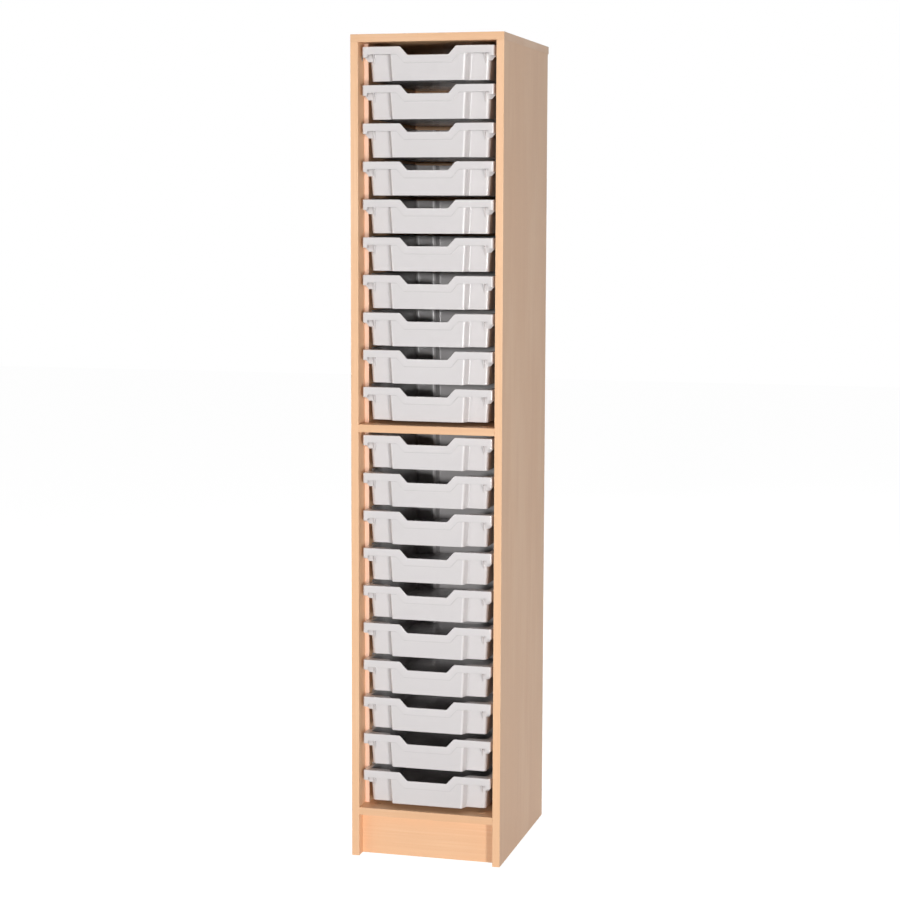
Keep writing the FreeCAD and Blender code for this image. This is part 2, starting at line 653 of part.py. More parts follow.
# ---------------------------------------------------------------- nodes
def carcass_nodes():
    nodes = {"top_panel": top_panel(), "top_edging": top_edging()}
    for name, side in SIDE_NAMES.items():
        nodes[name + "_side_panel"] = side_panel(side)
        nodes[name + "_side_edging"] = side_edging(side)
    nodes["mid_shelf"] = shelf(MID_TOP)
    nodes["mid_shelf_edging"] = shelf_edging(MID_TOP)
    nodes["base_shelf"] = base_shelf()
    nodes["base_shelf_edging"] = shelf_edging(BASE_TOP)
    nodes["plinth"] = plinth()
    nodes["back_panel"] = back_panel()
    for bay, (foot, head, tray_feet) in BAYS.items():
        for name, side in SIDE_NAMES.items():
            nodes[f"{name}_{bay}_runner_board"] = runner_board(side, foot, head, tray_feet)
            nodes[f"{name}_{bay}_runners"] = Part.makeCompound([runner(side, z) for z in tray_feet])
    nodes["runner_board_edgings"] = runner_board_edgings()
    return nodes


def fastener_nodes():
    spots = [(side, y, top) for top in SHELF_TOPS for side in SIDES for y in CAM_LINES]
    tops = [(side, y) for side in SIDES for y in CAM_LINES]
    dowels = [level_dowel(*spot) for top in SHELF_TOPS for spot in shelf_dowel_spots(top)]
    dowels += [level_dowel(*spot) for spot in plinth_dowel_spots()]
    dowels += [upright_dowel(side, y) for side in SIDES for y in DOWEL_LINES]
    liner_screws = [liner_screw(side, y, z) for side in SIDES for feet in (LOWER_TRAYS, UPPER_TRAYS)
                    for y, z in liner_screw_spots(feet)]
    return {
        "cam_discs": Part.makeCompound([shelf_cam(*s) for s in spots] + [top_cam(*s) for s in tops]),
        "cam_bolts": Part.makeCompound([shelf_bolt(*s) for s in spots] + [top_bolt(*s) for s in tops]),
        "cam_caps": Part.makeCompound([cam_cap(*s) for s in spots]),
        "dowels": Part.makeCompound(dowels),
        "plinth_corner_blocks": corner_blocks(),
        "corner_block_screws": Part.makeCompound(block_screws()),
        "back_panel_screws": Part.makeCompound([back_screw(x, z) for x, z in back_screw_spots()]),
        "runner_board_screws": Part.makeCompound(liner_screws),
    }


def tray_nodes():
    """Every tray in its place, numbered from the top of the unit down."""
    pattern = tray()
    feet = sorted(UPPER_TRAYS + LOWER_TRAYS, reverse=True)
    nodes = {}
    for number, foot in enumerate(feet, start=1):
        placed = pattern.copy()
        placed.translate(V(0, TRAY_FRONT, foot))
        nodes[f"tray_{number:02d}"] = placed
    return nodes


def main():
    os.makedirs("parts", exist_ok=True)
    nodes = {**carcass_nodes(), **fastener_nodes(), **tray_nodes()}
    for name, shape in nodes.items():
        solids = len(shape.Solids)
        print(f"{name}: {solids} solid(s), {shape.Volume / 1000:.1f} cm3, valid {shape.isValid()}")
        shape.exportStep(os.path.join("parts", name + ".step"))
    print(f"overall {2 * OUTER:.1f} x {DEPTH:.1f} x {HEIGHT:.1f} mm, {len(nodes)} nodes")


main()
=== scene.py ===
"""Tall school tray unit: a beech-faced carcass with twenty light grey trays on plastic runners.

Every length in the classes is in millimetres, in the part's own frame: +Z up, the open front faces
-Y, X = 0 is the middle of the width and Z = 0 is the floor. Colours are in steps of sRGB, 0 to 255.
"""
import logging
import math
from dataclasses import dataclass, field, replace
from enum import Enum
from typing import Callable, Optional, Sequence, Union

import bmesh
import bpy
from mathutils import Matrix, Vector


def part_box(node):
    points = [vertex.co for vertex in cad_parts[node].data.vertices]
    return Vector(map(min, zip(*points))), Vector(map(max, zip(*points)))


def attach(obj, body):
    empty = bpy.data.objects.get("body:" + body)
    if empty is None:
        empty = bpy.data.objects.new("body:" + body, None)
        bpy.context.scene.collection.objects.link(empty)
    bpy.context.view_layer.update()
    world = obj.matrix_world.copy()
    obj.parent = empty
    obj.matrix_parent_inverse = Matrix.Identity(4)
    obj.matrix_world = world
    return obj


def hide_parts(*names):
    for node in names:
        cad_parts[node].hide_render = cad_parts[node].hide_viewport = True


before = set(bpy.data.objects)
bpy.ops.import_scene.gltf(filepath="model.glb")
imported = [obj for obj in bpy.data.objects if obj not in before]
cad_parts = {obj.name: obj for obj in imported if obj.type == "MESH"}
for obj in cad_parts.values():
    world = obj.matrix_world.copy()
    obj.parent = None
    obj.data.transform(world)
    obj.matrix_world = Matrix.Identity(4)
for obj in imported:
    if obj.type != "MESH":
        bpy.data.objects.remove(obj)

MM = 0.001
LOG = logging.getLogger("tray_unit")

Plan = tuple[float, float]
Point = tuple[float, float, float]
Colour = tuple[int, int, int]
Loop = Sequence[bmesh.types.BMVert]
Spot = tuple[Point, Point]

ORIGIN: Point = (0.0, 0.0, 0.0)
WHITE = (1.0, 1.0, 1.0, 1.0)
# Edges of a bar sharper than this are rounded, and those of a piece stay crisp, in degrees.
ROUND_ABOVE = 30.0
CRISP_ABOVE = 38.0
# How far the middle of a rounded edge lies behind each of its two faces, in radii.
EASE = 0.29
# Plan points on the rounded step beside a tray's panel, those on its two bends without their
# ends, and facets of a tray's rounded corners.
STEP_POINTS = 12
FIRST_BEND, SECOND_BEND = range(1, 5), range(7, 11)
CORNER_FACETS = 12


class Grain(Enum):
    """The way that the grain of a board or a lipping runs."""

    ACROSS = 0
    DEEP = 1
    UPRIGHT = 2


class Side(Enum):
    """Left and right of the unit, seen from its front."""

    LEFT = -1
    RIGHT = 1


# ---- node trees
@dataclass
class NodeSheet:
    """Adds nodes to one node tree."""

    tree: bpy.types.NodeTree

    def add(self, kind: str, settings: Optional[dict[str, object]] = None,
            inputs: Optional[dict[Union[str, int], object]] = None,
            output: Union[str, int] = 0) -> "Signal":
        """Adds one node, sets it up and joins it to what feeds it.

        Args:
            kind: The node's type, such as "ShaderNodeTexNoise".
            settings: The node's own properties, set before its sockets.
            inputs: What each input socket gets, by name or index: a value or a Signal.
            output: Name or index of the output to hand back.

        Returns:
            The chosen output, or the first input of a node that has no outputs.
        """
        node = self.tree.nodes.new(kind)
        for name, setting in (settings or {}).items():
            setattr(node, name, setting)
        for key, value in (inputs or {}).items():
            socket = self._pick(node.inputs, key)
            if isinstance(value, Signal):
                self.tree.links.new(value.socket, socket)
            else:
                socket.default_value = value
        return Signal(self, self._pick(node.outputs or node.inputs, output))

    @staticmethod
    def _pick(sockets: Sequence[bpy.types.NodeSocket],
              key: Union[str, int]) -> bpy.types.NodeSocket:
        """The usable socket with that name, or at that place among the usable ones."""
        usable = [s for s in sockets if s.enabled]
        return usable[key] if isinstance(key, int) else next(s for s in usable if s.name == key)

    def maths(self, operation: str, *terms: object) -> "Signal":
        """One Math node on values or Signals."""
        return self.add("ShaderNodeMath", {"operation": operation}, dict(enumerate(terms)))

    def blend(self, share: object, first: object, second: object, kind: str = "MIX") -> "Signal":
        """One colour mixed from two.

        Args:
            share: How much of the second colour there is, from 0 to 1.
            first: The first colour.
            second: The second colour.
            kind: The way of mixing, which is usually a plain blend.

        Returns:
            The mixed colour.
        """
        return self.add("ShaderNodeMix",
                        {"data_type": "RGBA", "blend_type": kind, "clamp_factor": True},
                        {"Factor": share, "A": _rgba(first), "B": _rgba(second)}, "Result")

    def tint(self, colour: object, level: object) -> "Signal":
        """A colour made lighter or darker all over the surface.

        Args:
            colour: The colour.
            level: What it is multiplied by.

        Returns:
            The colour at that level.
        """
        levels = dict.fromkeys(("Red", "Green", "Blue"), level)
        grey = self.add("ShaderNodeCombineColor", None, levels)
        return self.blend(1.0, colour, grey, "MULTIPLY")

    def noise(self, scale: Union[float, Point], shift: Point = ORIGIN, detail: float = 3.0,
              rough: float = 0.5, twist: float = 0.0) -> "Signal":
        """Noise between 0 and 1, around 0.5, on the object's own coordinates.

        Args:
            scale: Waves in a metre, the same every way or axis by axis.
            shift: Where in the endless pattern the object lies.
            detail: How many finer layers are added.
            rough: How strong the finer layers are.
            twist: How much the pattern is distorted.

        Returns:
            The noise.
        """
        even = isinstance(scale, float)
        place = self.add("ShaderNodeTexCoord", output="Object")
        moved = self.add("ShaderNodeMapping", {"vector_type": "POINT"}, {
            "Vector": place, "Scale": (1.0, 1.0, 1.0) if even else scale, "Location": shift})
        return self.add("ShaderNodeTexNoise", {"noise_dimensions": "3D"}, {
            "Vector": moved, "Scale": scale if even else 1.0, "Detail": detail, "Roughness": rough,
            "Distortion": twist})


def _operator(operation: str, reflected: bool = False) -> Callable[["Signal", object], "Signal"]:
    """An arithmetic operator between a Signal and a value or another Signal.

    Args:
        operation: The Math node's operation.
        reflected: Whether the Signal stands on the right.

    Returns:
        The operator, as a method of Signal.
    """

    def apply(this: "Signal", other: object) -> "Signal":
        """The Math node's result."""
        return this.sheet.maths(operation, *((other, this) if reflected else (this, other)))

    return apply


@dataclass(frozen=True)
class Signal:
    """One node output that takes part in Python arithmetic."""

    sheet: NodeSheet
    socket: bpy.types.NodeSocket

    __add__, __radd__ = _operator("ADD"), _operator("ADD", True)
    __sub__, __rsub__ = _operator("SUBTRACT"), _operator("SUBTRACT", True)
    __mul__, __rmul__ = _operator("MULTIPLY"), _operator("MULTIPLY", True)

    def between(self, low: float, high: float) -> "Signal":
        """A smooth rise between two values.

        Args:
            low: Up to here the result is 0.
            high: From here the result is 1.

        Returns:
            The result.
        """
        inputs = {"Value": self, "From Min": low, "From Max": high, "To Min": 0.0, "To Max": 1.0}
        return self.sheet.add("ShaderNodeMapRange",
                              {"interpolation_type": "SMOOTHSTEP", "clamp": True}, inputs)


def _rgba(colour: object) -> object:
    """A colour as a node's socket takes it.

    Args:
        colour: Steps of sRGB, or a Signal, or a linear colour with its alpha.

    Returns:
        A linear colour with its alpha, or a Signal or such a colour as it was.
    """
    if isinstance(colour, Signal) or len(colour) == 4:
        return colour
    linear = (v / 12.92 if v <= 0.04045 else ((v + 0.055) / 1.055) ** 2.4
              for v in (step / 255 for step in colour))
    return (*linear, 1.0)


def cleared_sheet(owner: Union[bpy.types.Material, bpy.types.World]) -> NodeSheet:
    """A sheet on an emptied node tree.

    Args:
        owner: A new material or world.

    Returns:
        The sheet, for all its nodes.
    """
    owner.use_nodes = True
    owner.node_tree.nodes.clear()
    return NodeSheet(owner.node_tree)


def looked_at(sheet: NodeSheet) -> Signal:
    """Tells what is looked at from what only lights the unit.

    Args:
        sheet: The sheet of the material or world.

    Returns:
        1 for rays from the camera and those that a shiny surface sends on, else 0.
    """
    kinds = ("Is Camera Ray", "Is Glossy Ray", "Is Transmission Ray")
    camera, glossy, through = (sheet.add("ShaderNodeLightPath", output=kind) for kind in kinds)
    return sheet.maths("MAXIMUM", sheet.maths("MAXIMUM", camera, glossy), through)


# ---- finishes
@dataclass(frozen=True)
class Finish:
    """What every finish shares: a name, and how its material starts and ends."""

    name: str

    def make(self) -> bpy.types.Material:
        """Makes the material.

        Returns:
            The material, with the nodes that the finish lays.
        """
        material = bpy.data.materials.new(self.name)
        self.lay(cleared_sheet(material))
        return material

    def close(self, sheet: NodeSheet, colour: Signal, roughness: Signal, relief: Signal,
              depth: float, fixed: dict[str, object]) -> None:
        """Ends a material in one Principled shader.

        Args:
            sheet: The material's sheet.
            colour: Base colour.
            roughness: Roughness.
            relief: Height of the surface, from 0 to about 1.
            depth: How deep the relief is, in metres.
            fixed: Sockets that hold one value all over the surface.
        """
        bump = sheet.add("ShaderNodeBump", None,
                         {"Strength": 1.0, "Distance": depth, "Height": relief})
        shader = sheet.add("ShaderNodeBsdfPrincipled", None, {
            "Base Color": colour, "Roughness": roughness, "Normal": bump, **fixed})
        sheet.add("ShaderNodeOutputMaterial", None, {"Surface": shader})


@dataclass(frozen=True)
class Beech(Finish):
    """Beech, as melamine face, as lipping or raw, with its grain one way."""

    grain: Grain = Grain.UPRIGHT
    base: Colour = (243, 197, 156)
    dark: Colour = (234, 184, 142)
    pale: Colour = (249, 208, 170)
    shift: float = 0.0
    contrast: float = 0.6
    roughness: float = 0.42
    figure_depth: float = 0.34
    streak_depth: float = 0.42
    pore_depth: float = 0.13
    fibre_depth: float = 0.10
    relief: float = 0.00003

    def lay(self, sheet: NodeSheet) -> None:
        """Adds the material's nodes.

        Args:
            sheet: The material's own sheet.
        """
        moved = (self.shift, self.shift * 0.7, self.shift * 1.3)

        def grained(across: float, down: float, detail: float, rough: float = 0.5,
                    twist: float = 0.0) -> Signal:
            """Noise drawn out along the grain, from its scales across and down the grain."""
            scale = tuple(down if axis == self.grain.value else across for axis in range(3))
            return sheet.noise(scale, moved, detail, rough, twist)

        sway = grained(9.0, 2.2, 2.0)
        figure = grained(26.0, 1.5, 4.0, 0.55, 0.6) - 0.5
        streak = grained(210.0, 3.2, 4.0, 0.62)
        fibre = grained(1500.0, 22.0, 2.0)
        pores = grained(1100.0, 190.0, 1.0, 0.4).between(0.63, 0.72)

        c, stripe, hair = self.contrast, streak - 0.5, fibre - 0.5
        level = figure * (self.figure_depth * c) + stripe * (self.streak_depth * c) + 0.5
        warm = sheet.blend(level.between(0.30, 0.62), self.dark, self.base)
        pale = sheet.blend((sway + stripe * 0.5).between(0.46, 0.72) * 0.55, warm, self.pale)
        shade = 1.0 - pores * (self.pore_depth * c) - hair * (self.fibre_depth * c)
        rough = stripe * 0.10 + hair * 0.06 + pores * 0.08 + self.roughness
        height = fibre * 0.5 + streak * 0.5 - pores * 0.6
        self.close(sheet, sheet.tint(pale, shade), rough, height, self.relief,
                   {"IOR": 1.46, "Specular IOR Level": 0.45})


@dataclass(frozen=True)
class MouldedPlastic(Finish):
    """Injection-moulded plastic with a faint spark-eroded texture, flow marks and fine scuffs.

    Where the mesh has a "corner" attribute, the plastic gets painted shade by it, and a painted
    highlight where it is below 0.
    """

    colour: Colour
    worn: Colour
    roughness: float
    texture: float = 0.00002
    seed: float = 0.0
    painted_shading: float = 0.0
    polish: float = 0.0

    def lay(self, sheet: NodeSheet) -> None:
        """Adds the material's nodes.

        Args:
            sheet: The material's own sheet.
        """
        moved = (self.seed, self.seed * 1.7, self.seed * 0.4)
        cloud = sheet.noise(7.0, moved, 3.0, 0.55)
        flow = sheet.noise((14.0, 60.0, 60.0), moved, 3.0, 0.6, 0.8)
        spark = sheet.noise(2400.0, moved, 2.0, 0.6)
        orange = sheet.noise(260.0, moved, 2.0)
        scratch = sheet.noise((45.0, 900.0, 1400.0), moved, 2.0, 0.6, 0.3)
        scuffs = scratch.between(0.66, 0.74) * cloud.between(0.45, 0.62)
        dull = cloud.between(0.35, 0.75)

        colour = sheet.blend(dull * 0.2 + scuffs * 0.2, self.colour, self.worn)
        shade = 1.0 - (flow - 0.5) * 0.03 - (spark - 0.5) * 0.02
        # Painted shade and painted highlights from the mesh's "corner" attribute.
        if self.painted_shading > 0:
            corners = {"attribute_type": "GEOMETRY", "attribute_name": "corner"}
            shade = shade - sheet.add("ShaderNodeAttribute", corners, output="Fac") * self.painted_shading
        rough = (cloud - 0.5) * 0.16 + (spark - 0.5) * 0.10 + scuffs * 0.18 + self.roughness
        height = spark * 0.55 + orange * 0.45 - scuffs * 0.5
        self.close(sheet, sheet.tint(colour, shade), rough, height, self.texture,
                   {"IOR": 1.49, "Specular IOR Level": 0.5, "Coat Weight": self.polish,
                    "Coat Roughness": 0.12, "Coat IOR": 1.5})


@dataclass(frozen=True)
class Metal(Finish):
    """Plated steel or die-cast zinc with a dull, slightly patchy surface."""

    colour: Colour
    tarnish: Colour
    roughness: float
    grit: float
    relief: float = 0.00003

    def lay(self, sheet: NodeSheet) -> None:
        """Adds the material's nodes.

        Args:
            sheet: The material's own sheet.
        """
        patch = sheet.noise(60.0, ORIGIN, 4.0, 0.6)
        grit = sheet.noise(self.grit, ORIGIN, 3.0, 0.6)
        colour = sheet.blend(patch.between(0.45, 0.75) * 0.6, self.colour, self.tarnish)
        colour = sheet.tint(colour, 1.0 - (grit - 0.5) * 0.18)
        rough = (patch - 0.5) * 0.22 + (grit - 0.5) * 0.18 + self.roughness
        self.close(sheet, colour, rough, grit, self.relief, {"Metallic": 1.0})


@dataclass(frozen=True)
class StudioWhite(Finish):
    """A pale floor that shows white to the eye and keeps the shadow that falls on it."""

    paint: float = 0.6
    glow: float = 0.95
    shadow_share: float = 0.5

    def lay(self, sheet: NodeSheet) -> None:
        """Adds the material's nodes.

        Args:
            sheet: The material's own sheet.
        """
        paint = sheet.tint((*[self.paint] * 3, 1.0), 1.0 - (sheet.noise(3.0) - 0.5) * 0.02)
        lit = sheet.add("ShaderNodeBsdfDiffuse", None, {"Color": paint})
        seen = sheet.add("ShaderNodeBsdfDiffuse", None,
                         {"Color": sheet.tint(paint, self.shadow_share)})
        glow = sheet.add("ShaderNodeEmission", None, {"Color": WHITE, "Strength": self.glow})
        white = sheet.add("ShaderNodeAddShader", None, {0: seen, 1: glow})
        surface = sheet.add("ShaderNodeMixShader", None, {0: looked_at(sheet), 1: lit, 2: white})
        sheet.add("ShaderNodeOutputMaterial", None, {"Surface": surface})


# ---- meshes
@dataclass
class Shell:
    """One mesh piece, put together in millimetres."""

    name: str
    bm: bmesh.types.BMesh = field(default_factory=bmesh.new)

    def points(self, places: Sequence[Sequence[float]]) -> Loop:
        """New vertices at places in millimetres."""
        return [self.bm.verts.new(Vector(place) * MM) for place in places]

    def skin(self, *loops: Loop) -> None:
        """Adds quads between each closed loop and the next.

        Args:
            *loops: The loops in their order, all of as many vertices.
        """
        for first, second in zip(loops, loops[1:]):
            for i, here in enumerate(first):
                j = (i + 1) % len(first)
                self.bm.faces.new((here, first[j], second[j], second[i]))

    def cap(self, loop: Loop) -> None:
        """One face over a closed loop."""
        self.bm.faces.new(loop)

    def face_outwards(self) -> None:
        """Turns every face outwards."""
        bmesh.ops.recalc_face_normals(self.bm, faces=self.bm.faces)

    def prism(self, outline: Sequence[Plan], low: float, high: float, axis: Grain,
              arris: float = 0.0) -> None:
        """Adds a bar with the same section all along one axis.

        Args:
            outline: The section, in the two other axes in their order.
            low: Start of the bar along the axis.
            high: End of the bar along the axis.
            axis: The axis that the bar runs along.
            arris: Radius of its edges, or 0 for sharp ones.
        """
        bar, k = Shell("bar"), axis.value
        ends = [bar.points([(*p[:k], t, *p[k:]) for p in outline]) for t in (low, high)]
        bar.skin(*ends)
        bar.cap(ends[0][::-1])
        bar.cap(ends[1])
        bar.face_outwards()
        if arris > 0:
            edges = [e for e in bar.bm.edges
                     if e.is_manifold and e.calc_face_angle() > math.radians(ROUND_ABOVE)]
            bmesh.ops.bevel(bar.bm, geom=edges, offset=arris * MM, segments=2, profile=0.5,
                            affect="EDGES", clamp_overlap=True)
        loose = bar.mesh()
        self.bm.from_mesh(loose)
        bpy.data.meshes.remove(loose)

    def mesh(self) -> bpy.types.Mesh:
        """Ends the piece's mesh.

        Returns:
            The mesh, in metres.
        """
        mesh = bpy.data.meshes.new(self.name)
        self.bm.to_mesh(mesh)
        self.bm.free()
        return mesh

    def finish(self, material: bpy.types.Material, crease: float = CRISP_ABOVE) -> bpy.types.Object:
        """The finished piece, as as_piece makes it, with its doubles merged."""
        bmesh.ops.remove_doubles(self.bm, verts=self.bm.verts, dist=0.00001)
        return as_piece(self.name, self.mesh(), material, crease)


def as_piece(name: str, mesh: bpy.types.Mesh, material: bpy.types.Material,
             crease: float = CRISP_ABOVE) -> bpy.types.Object:
    """An object at the origin that shows a mesh with one material.

    Args:
        name: The piece's name.
        mesh: Its mesh, which is used up.
        material: What it is made of.
        crease: Edges sharper than this many degrees stay crisp.

    Returns:
        The object, linked to the scene, with normals that keep its flat faces flat.
    """
    mesh.materials.clear()
    mesh.materials.append(material)
    mesh.shade_smooth()
    mesh.set_sharp_from_angle(angle=math.radians(crease))
    raw = linked(name + "_raw", mesh)
    normals = raw.modifiers.new("flat_faces_first", "WEIGHTED_NORMAL")
    normals.keep_sharp, normals.weight = True, 90
    bpy.context.view_layer.update()
    graph = bpy.context.evaluated_depsgraph_get()
    shaded = bpy.data.meshes.new_from_object(raw.evaluated_get(graph),
                                             preserve_all_data_layers=True, depsgraph=graph)
    shaded.name = name
    bpy.data.objects.remove(raw)
    bpy.data.meshes.remove(mesh)
    return linked(name, shaded)


def linked(name: str, data: Optional[bpy.types.ID]) -> bpy.types.Object:
    """Puts a new object in the scene.

    Args:
        name: The object's name.
        data: The mesh, lamp or camera that it shows.

    Returns:
        The object.
    """
    made = bpy.data.objects.new(name, data)
    bpy.context.scene.collection.objects.link(made)
    return made


def fitted(body: str, piece: bpy.types.Object, node: str) -> None:
    """Lets a piece ride on a body, in place of the CAD node that it stands for.

    Args:
        body: The body's name.
        piece: The finished piece.
        node: The CAD node's name.
    """
    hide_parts(node)
    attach(piece, body)
    LOG.info("%s: %d faces, on %s", piece.name, len(piece.data.polygons), body)


def arc(centre: Plan, radius: float, start: float, end: float, steps: int) -> list[Plan]:
    """Points on an arc, both ends included, with angles in degrees."""
    angles = [math.radians(start + (end - start) * i / steps) for i in range(steps + 1)]
    return [(centre[0] + radius * math.cos(a), centre[1] + radius * math.sin(a)) for a in angles]


def circle(centre: Plan, radius: float, count: int) -> list[Plan]:
    """Points all the way round a circle."""
    return arc(centre, radius, 0, 360 - 360 / count, count - 1)


# ---- trays
@dataclass
class Station:
    """One place on the way round a tray: where its wall, rim and turned-down edge are.

    crease and inside give the painted shade on the wall there, outside and in; below 0 they give a
    painted highlight.
    """

    wall_top: Plan
    wall_foot: Plan
    outward: Plan
    rim: Plan
    inset: Plan
    top: float
    skirt: float
    skirt_x: Optional[float] = None
    hugs: bool = False
    crease: float = 0.0
    inside: float = 0.0

    def mirrored(self) -> "Station":
        """The same place on the tray's left half."""
        flipped = {key: (-p[0], p[1]) for key, p in vars(self).items() if isinstance(p, tuple)}
        return replace(self, skirt_x=None if self.skirt_x is None else -self.skirt_x, **flipped)


@dataclass
class Tray:
    """A shallow tray moulded in one piece: a drafted tub, a stepped panel at each end, and a rim.

    brim and hem are the roundings of the rim's inner arris and of the turned-down edge: how far
    each point lies from the top or the lower edge, and how far it has come inwards or outwards.
    """

    width: float = 312.0
    depth: float = 427.0
    height: float = 77.5
    wall: float = 2.0
    floor: float = 2.5
    floor_fillet: float = 2.0
    rim: float = 3.0
    half_top: float = 145.0
    half_foot: float = 139.5
    corner: float = 9.0
    step_round: float = 6.0
    foot_round: float = 1.5
    panel_top: float = 90.0
    panel_foot: float = 85.0
    setback_top: float = 1.0
    setback_foot: float = 4.0
    step_depth: float = 18.5
    step_slant: float = 7.0
    band: float = 17.5
    band_thick: float = 2.5
    grip_level: float = 24.0
    grip_top: float = 66.0
    grip_foot: float = 48.5
    grip_depth: float = 19.5
    grip_round: float = 5.0
    lug_length: float = 39.5
    lug_step: float = 5.0
    lug_skirt: float = 24.0
    lug_from: float = 144.0
    lug_ease: float = 0.8
    lug_nick: float = 0.4
    lug_lines: Sequence[float] = (16.0, 30.0)
    lug_gap: float = 0.3
    rim_corner: float = 5.0
    lip: float = 9.0
    edge_round: float = 1.4
    brim: Sequence[Plan] = ((0.9, 0.0), (0.27, 0.25), (0.0, 0.85))
    hem: Sequence[Plan] = ((0.5, 0.0), (0.15, 0.15), (0.0, 0.5))
    rib_x: float = 131.0
    rib_drop: float = 40.0
    rib_thick: float = 1.8
    shoulder: Sequence[Plan] = (
        (136.0, 75.0), (154.7, 75.0), (154.7, 53.9), (154.0, 52.7), (150.6, 49.3),
        (149.6, 48.1), (147.2, 45.0), (146.3, 44.2), (145.2, 44.0), (136.0, 44.0))
    # How much painted shade (above 0) or painted highlight (below 0) each line of the section gets,
    # from the floor inside
    # to the foot outside: the floor and its fillet, the inner arris, the highlighted top, the
    # edge's face, its back, and the wall.
    painted_light: Sequence[float] = (0.7, 0.7, 0.7, 0.7, 0.0, 0.0, -0.25, -0.25, -0.25, 0.0, 0.0, 0.0,
                             1.0, 1.0, 1.0, 0.0, 0.0, 0.0, 1.0)
    inner_lines: Sequence[int] = (2, 3)
    outer_lines: Sequence[int] = (15, 16, 17)
    # Painted shade in each step's concave bend, and painted highlights on its convex arris outside
    # and on the rear steps' arris inside.
    crease_painted_shade: float = 0.35
    arris_painted_highlight: float = -0.6
    inner_painted_highlight: float = -1.5

    def tub_plan(self, half: float, panel: float, setback: float) -> list[tuple[Plan, Plan]]:
        """The right half of the tub's plan at one height, from the panel's corner to the side.

        Args:
            half: Half the tub's width there.
            panel: Half the width of the middle panel there.
            setback: The panel's distance behind the front of the rim.

        Returns:
            Outer wall points with their outward directions, always as many: STEP_POINTS on the
            step beside the panel, half of them on each of its bends, and then the tub's corner.
        """
        turn = math.degrees(math.atan2(self.step_slant, self.step_depth))
        back = setback + self.step_depth
        r, c = self.step_round, self.corner
        run = r * math.tan(math.radians((90 - turn) / 2))
        facets = STEP_POINTS // 2 - 1
        bends = (((panel - run, setback + r), r, -90, -turn, facets),
                 ((panel + self.step_slant + run, back - r), -r, -turn, -90, facets),
                 ((half - c, back + c), c, -90, 0, CORNER_FACETS))
        return [((x + radius * out[0], y + radius * out[1]), out)
                for (x, y), radius, start, end, steps in bends
                for out in arc((0, 0), 1.0, start, end, steps)]

    def tub_walls(self) -> list[tuple[Plan, Plan, Plan]]:
        """The tub's wall, all the way round its right half.

        Returns:
            Top, foot and outward direction of the wall at each point of the tub's plan.
        """
        head = self.tub_plan(self.half_top, self.panel_top, self.setback_top)
        foot = self.tub_plan(self.half_foot, self.panel_foot, self.setback_foot)
        return [(top, low, out) for (top, out), (low, _) in zip(head, foot)]

    def grip_line(self, drop: float) -> list[Plan]:
        """Right half of the finger dip's edge in X and Z, or of the band's foot below it.

        Args:
            drop: 0 for the dip's own edge, or the height of the band for its foot.

        Returns:
            Points from the middle to the end of the level part beside the dip, and one half-way
            from there to the panel's corner.
        """
        r, lean = self.grip_round, math.atan2(self.grip_depth, self.grip_top - self.grip_foot)
        shift = drop * math.tan(lean / 2)
        foot = (self.grip_foot + shift, self.height - self.grip_depth - drop)
        head = (self.grip_top + shift, self.height - drop)
        run = r * math.tan(lean / 2)
        degrees = math.degrees(lean)
        line = [(0.0, foot[1]), (self.grip_level + shift, foot[1]),
                *arc((foot[0] - run, foot[1] + r), r, -90, -90 + degrees, 5),
                *arc((head[0] + run, head[1] - r), r, 90 + degrees, 90, 5)]
        corner_x = self.tub_walls()[0][0][0]
        return line + [(line[-1][0] + (corner_x - line[-1][0]) / 2, head[1])]

    def front_stations(self) -> list[Station]:
        """Right half of the front.

        Returns:
            The stations from the middle to the tub's corner.
        """
        inset = (0.0, 1.0)
        found = []
        for (x, top), (low_x, low) in zip(self.grip_line(0.0), self.grip_line(self.band)):
            foot = (x * self.panel_foot / self.panel_top, self.setback_foot)
            found.append(Station((x, self.setback_top), foot, (0.0, -1.0), (x, 0.0), inset, top,
                                 low, low_x, True))
        for turn, (top, low, out) in enumerate(self.tub_walls()[:STEP_POINTS]):
            # Painted shade in the step's concave bend, and a painted highlight on its convex arris.
            crease = (self.crease_painted_shade if turn in SECOND_BEND else
                      self.arris_painted_highlight if turn in FIRST_BEND else 0.0)
            found.append(Station(top, low, out, (top[0], 0.0), inset, self.height,
                                 self.height - self.band, None, self._meets(top), crease))
        return found

    def _meets(self, top: Plan) -> bool:
        """Whether the turned-down edge lies on the wall there."""
        return top[1] < self.band_thick + 0.2

    def lug_stations(self) -> list[Station]:
        """The tub's front corner and the lug.

        Returns:
            The stations from the front, round the lug, to the narrow part of the rim.
        """
        walls = self.tub_walls()[STEP_POINTS:]
        outer, r, end, ease = self.width / 2, self.rim_corner, self.lug_length, self.lug_ease
        side, nick = outer - self.lug_step, self.lug_nick
        rims: list[tuple[Plan, Plan]] = [
            ((x, 0.0), (0.0, 1.0)) for x in (walls[0][0][0], self.lug_from - self.lug_gap,
                                             self.lug_from + self.lug_gap)]
        rims += [((x, y), ((outer - r - x) / r, (r - y) / r))
                 for x, y in arc((outer - r, r), r, -90, 0, 8)]
        rims += [((outer, y), (-1.0, 0.0)) for y in self.lug_lines]
        rims += [((outer, end - ease), (-1.0, -0.68)), ((outer - ease, end), (-0.68, -1.0)),
                 ((side + nick, end), (-1.16, -1.0)), ((side, end + nick), (-1.0, -1.16))]
        found = []
        for i, (rim, inset) in enumerate(rims):
            if i < len(walls):
                top, low, out = walls[i]
            else:
                y = max(walls[-1][0][1] + 0.4 * (i - len(walls) + 1), rim[1] - 1.0)
                top, low, out = (self.half_top, y), (self.half_foot, y), (1.0, 0.0)
            skirt = self.band if rim[0] < self.lug_from and rim[1] < 1.0 else self.lug_skirt
            if i == len(rims) - 1:
                skirt = self.lip
            found.append(Station(top, low, out, rim, inset, self.height, self.height - skirt))
        return found

